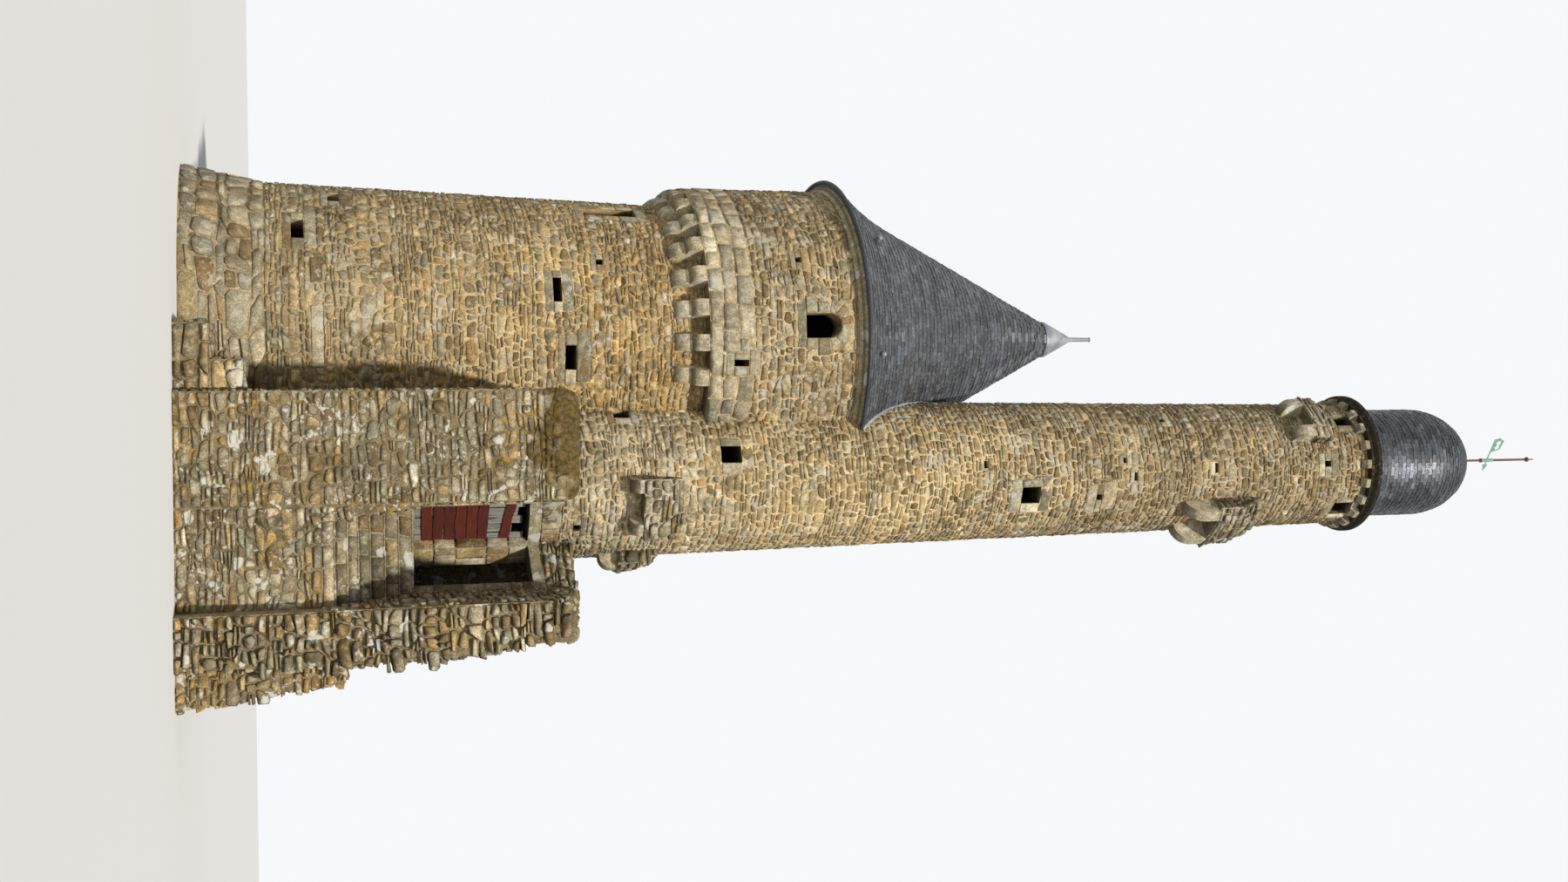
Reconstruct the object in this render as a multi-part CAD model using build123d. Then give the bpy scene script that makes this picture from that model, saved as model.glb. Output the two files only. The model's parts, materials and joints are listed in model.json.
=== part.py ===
"""Medieval tower: a corbelled round tower, a tall watch tower and the stair block between them.

Millimetres, +Z up.  The origin is on the watch tower's axis at ground level.  -Y is the front,
where the stair climbs to the two doorways, and +X is the right-hand side seen from the front.
A bearing is measured at a tower's axis, in degrees from the front (-Y) towards the right (+X).
"""
import os
from math import acos, asin, atan2, cos, degrees, hypot, radians, sin

from build123d import *

# Watch tower: a slender round shaft that tapers evenly from ground to cornice
WATCH_HEAD_RADIUS = 1130.0
WATCH_TAPER = 290.0
WATCH_FOOT_RADIUS = WATCH_HEAD_RADIUS + WATCH_TAPER
WATCH_HEAD_WALL = 380.0
WATCH_BORE_RADIUS = WATCH_HEAD_RADIUS - WATCH_HEAD_WALL
THRESHOLD = 3450.0
DOORWAY_HEIGHT = 1920.0
WATCH_LOW_HEIGHT = 4330.0
WATCH_MIDDLE_HEIGHT = 5200.0
WATCH_UPPER_HEIGHT = 4700.0
WATCH_ROOM_HEIGHT = 1700.0
DOOR_TOP = THRESHOLD + DOORWAY_HEIGHT
WATCH_LOW_JOINT = DOOR_TOP + WATCH_LOW_HEIGHT
WATCH_MIDDLE_JOINT = WATCH_LOW_JOINT + WATCH_MIDDLE_HEIGHT
WATCH_ROOM_FLOOR = WATCH_MIDDLE_JOINT + WATCH_UPPER_HEIGHT
WATCH_HEAD = WATCH_ROOM_FLOOR + WATCH_ROOM_HEIGHT
WATCH_BACK_JOINT = WATCH_LOW_JOINT + WATCH_MIDDLE_HEIGHT / 2
WATCH_FLOOR_THICKNESS = 180.0

# Watch tower head: modillions, moulded cornice, slated drum and dome
MODILLION_COUNT = 21
MODILLION_WIDTH = 160.0
MODILLION_HEIGHT = 160.0
MODILLION_REACH = 125.0
MODILLION_CHIN = MODILLION_HEIGHT * 0.45
WATCH_CORNICE_REACH = 190.0
WATCH_CORNICE_FASCIA = 50.0
WATCH_CORNICE_OVOLO = 60.0
WATCH_CORNICE_BAND = 80.0
WATCH_CORNICE_STEP = 25.0
WATCH_CORNICE_STEP_REACH = 35.0
WATCH_CORNICE_SLOPE = 90.0
WATCH_CORNICE_HEIGHT = (WATCH_CORNICE_FASCIA + WATCH_CORNICE_OVOLO + WATCH_CORNICE_BAND
                        + 2 * WATCH_CORNICE_STEP + WATCH_CORNICE_SLOPE)
DOME_SETBACK = 100.0
DOME_RADIUS = WATCH_HEAD_RADIUS - DOME_SETBACK
DOME_DRUM_HEIGHT = 1320.0
DOME_CROWN_HEIGHT = 1200.0
DOME_THICKNESS = 150.0
DOME_FLARE = 45.0
DOME_FLARE_HEIGHT = 260.0

# Finial and weather vane
ROD_RADIUS = 22.0
VANE_ABOVE_DOME = 730.0
ROD_ABOVE_VANE = 1120.0
ROD_POINT_LENGTH = 260.0
ROD_SEAT_RADIUS = 60.0
ROD_SEAT_HEIGHT = 110.0
ROD_COLLAR_RADIUS = 42.0
ROD_COLLAR_HEIGHT = 60.0
VANE_CLEARANCE = 0.8
VANE_SEAT_GAP = 0.3
SLEEVE_WALL = 9.0
SLEEVE_HEIGHT = 260.0
VANE_TURN = 33.0
VANE_PLATE = 8.0
ARROW_TAIL = 490.0
ARROW_HEAD = 250.0
ARROW_SHAFT = 26.0
ARROW_HEAD_WIDTH = 120.0
ARROW_HEAD_LENGTH = 150.0
TAIL_FLAG_LENGTH = 300.0
TAIL_FLAG_HEIGHT = 210.0
TAIL_FLAG_SWELL = 35.0
TAIL_PIERCING = 52.0
BALL_RADIUS = 48.0
BALL_BELOW_TIP = 160.0

# Round tower: battered plinth, tapered wall, corbelled upper storey and bell-cast roof
ROUND_X = -2490.0
ROUND_Y = 1330.0
ROUND_NECK_RADIUS = 2370.0
ROUND_TAPER = 230.0
ROUND_FOOT_RADIUS = ROUND_NECK_RADIUS + ROUND_TAPER
PLINTH_SPREAD = 170.0
PLINTH_FOOT_SPREAD = 100.0
PLINTH_SPREAD_RADIUS = ROUND_FOOT_RADIUS + PLINTH_SPREAD
PLINTH_RADIUS = PLINTH_SPREAD_RADIUS + PLINTH_FOOT_SPREAD
PLINTH_SPREAD_HEIGHT = 350.0
PLINTH_TOP = 1300.0
ROUND_NECK_WALL = 670.0
ROUND_BORE_RADIUS = ROUND_NECK_RADIUS - ROUND_NECK_WALL
GROUND_STOREY = 3600.0
FIRST_STOREY = 3520.0
FIRST_FLOOR = PLINTH_TOP + GROUND_STOREY
FIRST_FLOOR_THICKNESS = 220.0
CORBEL_HEIGHT = 550.0
GALLERY_UNDERSIDE = FIRST_FLOOR + FIRST_STOREY
CORBEL_BOTTOM = GALLERY_UNDERSIDE - CORBEL_HEIGHT
GALLERY_SLAB = 180.0
GALLERY_FLOOR = GALLERY_UNDERSIDE + GALLERY_SLAB
GALLERY_OVERHANG = 320.0
GALLERY_RADIUS = ROUND_NECK_RADIUS + GALLERY_OVERHANG
GALLERY_WALL_THICKNESS = 490.0
GALLERY_ASHLAR_HEIGHT = 700.0
GALLERY_BORE_RADIUS = GALLERY_RADIUS - GALLERY_WALL_THICKNESS
GALLERY_STOREY = 2440.0
GALLERY_WALL_TOP = GALLERY_FLOOR + GALLERY_STOREY
CORBEL_COUNT = 28
CORBEL_WIDTH = 280.0
CORBEL_FIRST_BEARING = 4.9
CORBEL_SHOULDER = 130.0
CORBEL_SETBACK = 10.0
CORBEL_LOW_NOSE = 130.0
CORBEL_LOW_CURVE = 60.0
CORBEL_HIGH_CURVE = 45.0
CORBEL_HIGH_RISE = 50.0
CORBEL_SEAT = 30.0
ROUND_CORNICE_HEIGHT = 140.0
ROUND_CORNICE_REACH = 110.0
ROUND_CORNICE_CAVETTO = 60.0
ROUND_CORNICE_STEP = 30.0
EAVES = GALLERY_WALL_TOP + ROUND_CORNICE_HEIGHT
EAVES_OVERHANG = 190.0
EAVES_RADIUS = GALLERY_RADIUS + EAVES_OVERHANG
EAVES_EDGE = 30.0
ROOF_SKIRT_HEIGHT = 1120.0
ROOF_CONE_HEIGHT = 4000.0
ROOF_SPRUNG_HEIGHT = EAVES + ROOF_SKIRT_HEIGHT
ROOF_APEX = ROOF_SPRUNG_HEIGHT + ROOF_CONE_HEIGHT
ROOF_SLOPE = 0.513
ROOF_THICKNESS = 170.0
LEAD_CAP_HEIGHT = 620.0
LEAD_CAP_LIP = 25.0
LEAD_CAP_ROLL = 60.0
LEAD_CAP_NECK = 55.0
LEAD_CAP_NECK_DROP = 90.0
SPIKE_HEIGHT = 470.0
SPIKE_RADIUS = 45.0
SPIKE_KNOB = 30.0

# Door of the watch tower, its pins and strap hinges
DOOR_BEARING = 31.0
DOOR_REVEAL_WIDTH = 740.0
DOOR_EMBRASURE_WIDTH = 830.0
DOOR_SHOULDER = 1235.0
DOOR_LEAF_GAP = 12.0
DOOR_BOARD = 38.0
DOOR_BOARD_COUNT = 5
DOOR_PLANK = 24.0
DOOR_PANEL_MARGIN = 25.0
DOOR_PLANK_MARGIN = 14.0
DOOR_PLANK_WIDTH = 165.0
DOOR_PLANK_TILT = 8.0
DOOR_SILL_HEIGHT = 75.0
DOOR_FOOT_GAP = 15.0
DOOR_HEAD_GAP = 25.0
PIN_RADIUS = 10.0
PIN_HEIGHT = 100.0
PIN_BELOW_EYE = 40.0
PIN_STEM = 20.0
PIN_CLEARANCE = 1.0
PIN_SETBACK = 34.0
STRAP_EYE_WALL = 8.0
STRAP_EYE_HEIGHT = 50.0
EYE_TO_WALL = 5.0
STRAP_LENGTH = 560.0
STRAP_THICKNESS = 6.0
STRAP_HEIGHTS = (420.0, 1480.0)
LINTEL_HEIGHT = 200.0
LINTEL_BEARING_LENGTH = 170.0

# Stair block and buttress in front of the watch tower
FRONT_FACE = -3500.0
BUTTRESS_RIGHT = 240.0
BUTTRESS_WIDTH = 1670.0
BUTTRESS_LEFT = BUTTRESS_RIGHT - BUTTRESS_WIDTH
BUTTRESS_ABOVE_THRESHOLD = 2380.0
BUTTRESS_TOP = THRESHOLD + BUTTRESS_ABOVE_THRESHOLD
BUTTRESS_ROUNDING = 230.0
STAIR_WIDTH = WATCH_FOOT_RADIUS + 60.0
STAIR_LEFT = BUTTRESS_RIGHT
STAIR_RIGHT = STAIR_LEFT + STAIR_WIDTH
STEP_RISES = (190.0, 190.0, 170.0, 190.0, 230.0, 230.0, 230.0)
STAIR_FOOT = THRESHOLD - sum(STEP_RISES)
STEP_TREAD = 270.0
STEP_SETBACK = 60.0
LANDING_NOSING = 30.0
PARAPET_WIDTH = 240.0
PARAPET_NOTCH = 60.0
PARAPET_NOTCH_HEIGHT = 300.0
PARAPET_CREST_WIDTH = 70.0
PARAPET_CREST_DROP = 240.0
PARAPET_HEIGHT = 1540.0
PARAPET_TOP = STAIR_FOOT + PARAPET_HEIGHT
PARAPET_LENGTH = 420.0
FOOTING_LOW_WIDTH = 530.0
FOOTING_HIGH_WIDTH = 470.0
FOOTING_STEP = BUTTRESS_LEFT - FOOTING_HIGH_WIDTH
FOOTING_LEFT = FOOTING_STEP - FOOTING_LOW_WIDTH
FOOTING_LOW_TOP = 510.0
FOOTING_HIGH_TOP = 960.0
FOOTING_SETBACK = 250.0
FOOTING_FRONT = FRONT_FACE + FOOTING_SETBACK

# Flanking wall, its torn return, and the small chamber behind the open doorway
FLANK_PROJECTION = 600.0
FLANK_FRONT = FRONT_FACE - FLANK_PROJECTION
FLANK_LEAN = 300.0
FLANK_BACK = -WATCH_FOOT_RADIUS - 230.0
FLANK_ABOVE_THRESHOLD = 2150.0
FLANK_TOP = THRESHOLD + FLANK_ABOVE_THRESHOLD
FLANK_FOOT_WIDTH = 740.0
# Width of the torn end, as a share of its foot, at shares of the wall's height
FLANK_WIDTHS = ((0.41, 1.054), (0.69, 1.027), (0.84, 0.878), (0.92, 0.716), (1.0, 0.581))
FLANK_CREST_SETBACK = 300.0
FLANK_CREST_RISE = 400.0
RETURN_LAP = FLANK_FOOT_WIDTH - 40.0
RETURN_FOOT_WIDTH = 1320.0
RETURN_WIDTHS = ((0.39, 0.917), (0.65, 0.856), (1.0, 0.795))
RETURN_SETBACK = 250.0
RETURN_FRONT = FLANK_FRONT + RETURN_SETBACK
RETURN_THICKNESS = 700.0
RETURN_BACK = RETURN_FRONT + RETURN_THICKNESS
RETURN_TOP = 2320.0
CHAMBER_RIGHT = STAIR_RIGHT + 430.0
CHAMBER_BACK = 600.0
CHAMBER_WALL = 430.0
CHAMBER_CEILING = DOOR_TOP + LINTEL_HEIGHT
CHAMBER_ROOF_THICKNESS = 480.0
CHAMBER_ROOF = CHAMBER_CEILING + CHAMBER_ROOF_THICKNESS
CHAMBER_FLOOR = THRESHOLD + 10.0
GATE_START = (WATCH_FOOT_RADIUS - 440.0, 520.0 - WATCH_FOOT_RADIUS)
GATE_BEARING = -43.8
GATE_OPENING_FROM = 105.0
GATE_OPENING_WIDTH = 760.0
GATE_OPENING_TO = GATE_OPENING_FROM + GATE_OPENING_WIDTH
GATE_LENGTH = 1027.0
GATE_THICKNESS = 430.0

# Windows and loops: bearing, sill above the storey's foot, width and height on the outside face
SPLAY = 0.34
ROUND_LOOPS = {
    "ground_left": (-61.0, 1000.0, 330.0, 190.0),
    "ground_front": (-39.0, 400.0, 430.0, 200.0),
}
ROUND_WINDOWS = {
    "first_left": (-62.0, 1660.0, 360.0, 920.0),
    "first_middle": (-15.8, 940.0, 420.0, 150.0),
    "first_right": (11.0, 1120.0, 400.0, 190.0),
    "first_spy": (-28.5, 1700.0, 110.0, 120.0),
}
GALLERY_WINDOWS = {
    "spy": (-26.8, 1400.0, 110.0, 110.0),
    "slot": (12.2, 240.0, 110.0, 260.0),
}
ARCHED_WINDOW = (-1.5, 1500.0, 430.0, 640.0)
WATCH_LOW_WINDOWS = {
    "seam": (-56.0, 1490.0, 230.0, 280.0),
    "square": (-17.5, 3230.0, 290.0, 360.0),
    "spy": (36.0, 730.0, 120.0, 120.0),
}
WATCH_MIDDLE_WINDOWS = {
    "square": (20.7, 4430.0, 310.0, 370.0),
    "slit": (-6.1, 3680.0, 130.0, 70.0),
}
WATCH_UPPER_WINDOWS = {
    "round": (24.4, 720.0, 110.0, 110.0),
    "slit_right": (6.7, 1440.0, 150.0, 60.0),
    "slit_left": (-7.6, 1220.0, 100.0, 60.0),
    "spy": (-47.3, 2160.0, 90.0, 100.0),
    "slit_high": (0.7, 3100.0, 180.0, 70.0),
}
WATCH_TOP_WINDOWS = {
    "left": (-46.5, 1200.0, 250.0, 370.0),
    "right": (48.6, 1130.0, 340.0, 420.0),
    "keyhole": (-1.1, 750.0, 110.0, 140.0),
}

# Remains of the boxed machicolations: the bearings of their ends and of their corbels
BOX_BEARINGS = {
    "low_front": (0.0, 38.0, (4.0, 31.0)),
    "low_right": (66.0, 96.0, (74.0,)),
    "high_right": (30.0, 76.0, (36.0, 66.0)),
    "high_left": (-66.0, -22.0, (-58.0, -28.0)),
}
# Bottom, height of the corbels, height of the masonry on them, and reach
BOX_SIZES = {
    "low_front": (DOOR_TOP + 1640.0, 200.0, 720.0, 300.0),
    "low_right": (DOOR_TOP + 1270.0, 300.0, 700.0, 240.0),
    "high_right": (WATCH_MIDDLE_JOINT + 2550.0, 600.0, 1000.0, 330.0),
    "high_left": (WATCH_ROOM_FLOOR + 90.0, 410.0, 550.0, 240.0),
}
BOX_CORBEL_WIDTH = 220.0
BOX_CORBEL_NOSE = 20.0

JOINT = 0.3
BEYOND = 400.0
PARTS = "parts"


def turned(solid, bearing, x=0.0, y=0.0):
    """Turns a solid made facing the front to a bearing of the tower whose axis is at x, y."""
    return Pos(x, y, 0) * Rot(0, 0, bearing) * solid


def prism(points, low, high):
    """Upright prism over a plan outline."""
    outline = make_face(Polyline(*points, close=True))
    return Pos(0, 0, low) * extrude(outline, amount=high - low)


def block(x_low, x_high, y_low, y_high, low, high):
    """Upright block between six limits."""
    return prism([(x_low, y_low), (x_high, y_low), (x_high, y_high), (x_low, y_high)], low, high)


def ring(profile, start, end):
    """Turns a half section of (radius, height) points round +Z between two bearings."""
    points = [(radius, 0, height) for radius, height in profile]
    section = make_face(Polyline(*points, close=True))
    return Rot(0, 0, start - 90) * revolve(section, Axis.Z, end - start)


def watch_radius(height):
    """Outside radius of the watch tower at a height."""
    return WATCH_FOOT_RADIUS - (WATCH_FOOT_RADIUS - WATCH_HEAD_RADIUS) * height / WATCH_HEAD


def round_radius(height):
    """Outside radius of the round tower's wall between the plinth and the gallery."""
    share = (height - PLINTH_TOP) / (CORBEL_BOTTOM - PLINTH_TOP)
    return ROUND_FOOT_RADIUS + (ROUND_NECK_RADIUS - ROUND_FOOT_RADIUS) * share


def watch_body(low, high, gap=JOINT):
    """The watch tower's outside as a solid, which every wall that meets it is cut against."""
    radius_low = watch_radius(low) + gap
    radius_high = watch_radius(high) + gap
    return Pos(0, 0, (low + high) / 2) * Cone(radius_low, radius_high, high - low)


def round_body(low, high, gap=JOINT):
    """The round tower's outside as a solid."""
    below = max(low, PLINTH_TOP)
    profile = [(0, low), (0, high), (round_radius(high) + gap, high), (round_radius(below) + gap, below)]
    if low < PLINTH_TOP:
        profile += [(PLINTH_SPREAD_RADIUS + gap, PLINTH_SPREAD_HEIGHT), (PLINTH_RADIUS + gap, low)]
    return Pos(ROUND_X, ROUND_Y, 0) * ring(profile, 0, 360)


def splayed_opening(bearing, sill, width, height, face, bore):
    """Cutter of a window that is narrow outside and spreads towards the room."""
    half = width / 2
    inner = half + SPLAY * (face - bore)
    outline = [(-half, -face - BEYOND), (half, -face - BEYOND), (half, -face), (inner, -bore),
               (inner, -bore / 2), (-inner, -bore / 2), (-inner, -bore), (-half, -face)]
    return turned(prism(outline, sill, sill + height), bearing)


def cut_windows(wall, windows, foot, radius_at, bore):
    """Cuts each window of a table through a storey's wall that is centred on +Z."""
    for bearing, above_foot, width, height in windows.values():
        sill = foot + above_foot
        wall -= splayed_opening(bearing, sill, width, height, radius_at(sill), bore)
    return wall


def watch_wall(low, high, start, end):
    """Part of the watch tower's shaft between two heights and two bearings."""
    profile = [(WATCH_BORE_RADIUS, low), (watch_radius(low), low), (watch_radius(high), high),
               (WATCH_BORE_RADIUS, high)]
    return ring(profile, start, end)


def door_passage():
    """Cutter of the doorway: a narrow reveal outside and a wider embrasure behind the leaf."""
    half_reveal = DOOR_REVEAL_WIDTH / 2
    half_embrasure = DOOR_EMBRASURE_WIDTH / 2
    outline = [(-half_reveal, -WATCH_FOOT_RADIUS - BEYOND), (half_reveal, -WATCH_FOOT_RADIUS - BEYOND),
               (half_reveal, -DOOR_SHOULDER), (half_embrasure, -DOOR_SHOULDER),
               (half_embrasure, -WATCH_BORE_RADIUS / 2), (-half_embrasure, -WATCH_BORE_RADIUS / 2),
               (-half_embrasure, -DOOR_SHOULDER), (-half_reveal, -DOOR_SHOULDER)]
    return turned(prism(outline, THRESHOLD - BEYOND, DOOR_TOP), DOOR_BEARING)


def door_lintel_block(gap=0.0):
    """The lintel over the door, from the face of the tower to its bore."""
    half = DOOR_EMBRASURE_WIDTH / 2 + LINTEL_BEARING_LENGTH + gap
    bottom = DOOR_TOP
    outline = [(-half, -WATCH_FOOT_RADIUS - BEYOND), (half, -WATCH_FOOT_RADIUS - BEYOND),
               (half, -WATCH_BORE_RADIUS / 2), (-half, -WATCH_BORE_RADIUS / 2)]
    lintel = prism(outline, bottom, bottom + LINTEL_HEIGHT + gap)
    return turned(lintel, DOOR_BEARING)


def watch_tower():
    """Solid foot, shaft walls, lintel and upper floor of the watch tower."""
    bore = WATCH_BORE_RADIUS
    opening = door_passage()
    nodes = {"watch_tower_foot": watch_body(0, THRESHOLD, gap=0.0)}
    nodes["watch_tower_door_wall_left"] = watch_wall(THRESHOLD, DOOR_TOP, -90, DOOR_BEARING) - opening
    nodes["watch_tower_door_wall_right"] = watch_wall(THRESHOLD, DOOR_TOP, DOOR_BEARING, 90) - opening
    stages = {
        "watch_tower_wall_low": (DOOR_TOP, WATCH_LOW_JOINT, WATCH_LOW_WINDOWS),
        "watch_tower_wall_middle": (WATCH_LOW_JOINT, WATCH_MIDDLE_JOINT, WATCH_MIDDLE_WINDOWS),
        "watch_tower_wall_upper": (WATCH_MIDDLE_JOINT, WATCH_ROOM_FLOOR, WATCH_UPPER_WINDOWS),
        "watch_room_wall": (WATCH_ROOM_FLOOR, WATCH_HEAD, WATCH_TOP_WINDOWS),
    }
    for name, (low, high, windows) in stages.items():
        nodes[name] = cut_windows(watch_wall(low, high, -90, 90), windows, low, watch_radius, bore)
    nodes["watch_tower_wall_low"] -= door_lintel_block(JOINT)
    nodes["watch_tower_back_low"] = watch_wall(THRESHOLD, WATCH_BACK_JOINT, 90, 270)
    nodes["watch_tower_back_high"] = watch_wall(WATCH_BACK_JOINT, WATCH_HEAD, 90, 270)
    lintel_zone = watch_wall(DOOR_TOP, DOOR_TOP + LINTEL_HEIGHT, -90, 90)
    nodes["door_lintel"] = lintel_zone & door_lintel_block()
    sill_zone = watch_wall(THRESHOLD, THRESHOLD + DOOR_SILL_HEIGHT, -90, 90)
    half_embrasure = DOOR_EMBRASURE_WIDTH / 2 - JOINT
    half_reveal = DOOR_REVEAL_WIDTH / 2 - JOINT
    sill = prism([(-half_reveal, -WATCH_FOOT_RADIUS - BEYOND), (half_reveal, -WATCH_FOOT_RADIUS - BEYOND),
                  (half_reveal, -DOOR_SHOULDER + JOINT), (half_embrasure, -DOOR_SHOULDER + JOINT),
                  (half_embrasure, -WATCH_BORE_RADIUS / 2), (-half_embrasure, -WATCH_BORE_RADIUS / 2),
                  (-half_embrasure, -DOOR_SHOULDER + JOINT), (-half_reveal, -DOOR_SHOULDER + JOINT)],
                 THRESHOLD, THRESHOLD + DOOR_SILL_HEIGHT)
    nodes["door_sill"] = sill_zone & turned(sill, DOOR_BEARING)
    floor = Cylinder(WATCH_BORE_RADIUS - JOINT, WATCH_FLOOR_THICKNESS)
    nodes["watch_room_floor"] = Pos(0, 0, WATCH_ROOM_FLOOR - WATCH_FLOOR_THICKNESS / 2) * floor
    return nodes


def watch_head():
    """Modillions, cornice ring and slated dome on the watch tower."""
    bottom = WATCH_HEAD - MODILLION_HEIGHT
    seat = watch_radius(bottom) - CORBEL_SEAT
    reach = WATCH_HEAD_RADIUS + MODILLION_REACH
    half = MODILLION_WIDTH / 2
    chin = MODILLION_CHIN
    side = [(-seat, bottom), (-reach + chin, bottom), (-reach, bottom + chin), (-reach, WATCH_HEAD),
            (-seat, WATCH_HEAD)]
    outline = make_face(Polyline(*[(-half, y, z) for y, z in side], close=True))
    stone = extrude(outline, amount=MODILLION_WIDTH, dir=(1, 0, 0))
    stone -= watch_body(bottom - BEYOND, WATCH_HEAD + BEYOND)
    modillions = [turned(stone, index * 360 / MODILLION_COUNT) for index in range(MODILLION_COUNT)]
    rim = WATCH_HEAD_RADIUS + WATCH_CORNICE_REACH
    top = WATCH_HEAD + WATCH_CORNICE_HEIGHT
    fascia = rim - WATCH_CORNICE_OVOLO
    fascia_top = WATCH_HEAD + WATCH_CORNICE_FASCIA
    ovolo_top = fascia_top + WATCH_CORNICE_OVOLO
    band_top = ovolo_top + WATCH_CORNICE_BAND
    step_top = band_top + WATCH_CORNICE_STEP
    cornice = ring([(WATCH_BORE_RADIUS, WATCH_HEAD), (fascia, WATCH_HEAD), (fascia, fascia_top),
                    (rim, ovolo_top), (rim, band_top), (rim - WATCH_CORNICE_STEP_REACH, step_top),
                    (rim - 2 * WATCH_CORNICE_STEP_REACH, step_top + WATCH_CORNICE_STEP),
                    (DOME_RADIUS + DOME_FLARE, top), (WATCH_BORE_RADIUS, top)], 0, 360)
    shoulder = top + DOME_DRUM_HEIGHT
    inner = DOME_RADIUS - DOME_THICKNESS
    outside = Polyline((inner, 0, top), (DOME_RADIUS + DOME_FLARE, 0, top),
                       (DOME_RADIUS, 0, top + DOME_FLARE_HEIGHT), (DOME_RADIUS, 0, shoulder))
    crown = shoulder + DOME_CROWN_HEIGHT
    drop = Line((0, 0, crown), (0, 0, crown - DOME_THICKNESS))
    section = make_face([outside, *dome_curve(0, shoulder), drop, *dome_curve(DOME_THICKNESS, shoulder),
                         Line((inner, 0, shoulder), (inner, 0, top))])
    return {
        "watch_tower_modillions": Compound(children=modillions),
        "watch_tower_cornice": cornice,
        "watch_tower_dome": revolve(section, Axis.Z, 360),
    }


def dome_curve(inset, shoulder):
    """Two tangent arcs, close to a quarter ellipse, from a dome's shoulder up to its crown."""
    wide, tall = DOME_RADIUS, DOME_CROWN_HEIGHT
    side = tall ** 2 / wide
    crown = wide * (wide + tall) / (2 * tall)
    lift = degrees(acos(2 * tall * (wide + tall) / (2 * tall ** 2 + 2 * wide * tall + wide ** 2)))

    def point(across, up, radius, angle):
        return (across + radius * cos(radians(angle)), 0, shoulder + up + radius * sin(radians(angle)))

    low = [point(wide - side, 0, side - inset, angle) for angle in (0, lift / 2, lift)]
    high = point(0, tall - crown, crown - inset, 45 + lift / 2)
    return [ThreePointArc(*low), ThreePointArc(low[2], high, (0, 0, shoulder + tall - inset))]


def dome_apex():
    """Height of the top of the dome."""
    return WATCH_HEAD + WATCH_CORNICE_HEIGHT + DOME_DRUM_HEIGHT + DOME_CROWN_HEIGHT


def finial_and_vane():
    """Rod with its collar and ball, and the arrow vane that turns on it."""
    apex = dome_apex()
    vane_height = apex + VANE_ABOVE_DOME
    tip = vane_height + ROD_ABOVE_VANE
    collar_top = vane_height - SLEEVE_HEIGHT / 2 - VANE_SEAT_GAP
    profile = [(0, apex), (ROD_SEAT_RADIUS, apex), (ROD_SEAT_RADIUS * 0.6, apex + ROD_SEAT_HEIGHT),
               (ROD_RADIUS, apex + ROD_SEAT_HEIGHT), (ROD_RADIUS, collar_top - ROD_COLLAR_HEIGHT),
               (ROD_COLLAR_RADIUS, collar_top - ROD_COLLAR_HEIGHT / 2), (ROD_COLLAR_RADIUS, collar_top),
               (ROD_RADIUS, collar_top), (ROD_RADIUS, tip - ROD_POINT_LENGTH),
               (ROD_RADIUS * 0.4, tip), (0, tip)]
    rod = ring(profile, 0, 360)
    rod += Pos(0, 0, tip - BALL_BELOW_TIP) * Sphere(BALL_RADIUS)
    bore = ROD_RADIUS + VANE_CLEARANCE
    sleeve = Pos(0, 0, vane_height) * (Cylinder(bore + SLEEVE_WALL, SLEEVE_HEIGHT)
                                       - Cylinder(bore, SLEEVE_HEIGHT))
    start = bore + SLEEVE_WALL / 2
    half = ARROW_SHAFT / 2
    neck = ARROW_HEAD - ARROW_HEAD_LENGTH
    front = [(start, -half), (neck, -half), (neck, -ARROW_HEAD_WIDTH / 2), (ARROW_HEAD, 0),
             (neck, ARROW_HEAD_WIDTH / 2), (neck, half), (start, half)]
    flag_end = -ARROW_TAIL + TAIL_FLAG_LENGTH
    flag_top = half + TAIL_FLAG_HEIGHT
    back = [(-start, -half), (-ARROW_TAIL, -half), (-ARROW_TAIL - TAIL_FLAG_SWELL, flag_top * 0.5),
            (-ARROW_TAIL + TAIL_FLAG_SWELL, flag_top), (flag_end - 2 * TAIL_FLAG_SWELL, flag_top * 0.85),
            (flag_end, half),
            (-start, half)]
    plates = []
    for outline in (front, back):
        face = make_face(Polyline(*[(x, -VANE_PLATE / 2, z) for x, z in outline], close=True))
        plates.append(extrude(face, amount=VANE_PLATE, dir=(0, 1, 0)))
    middle = (half + flag_top) / 2
    for offset in (0.28, 0.62):
        spot = Pos(-ARROW_TAIL + TAIL_FLAG_LENGTH * offset, 0, middle) * Rot(90, 0, 0)
        plates[1] -= spot * Cylinder(TAIL_PIERCING, 4 * VANE_PLATE)
    arrow = Rot(0, 0, VANE_TURN) * Pos(0, 0, vane_height) * (plates[0] + plates[1])
    arrow -= Pos(0, 0, vane_height) * Cylinder(bore + SLEEVE_WALL, 2 * SLEEVE_HEIGHT)
    return {"finial_rod": rod, "vane_sleeve": sleeve, "vane_arrow": arrow}


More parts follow.
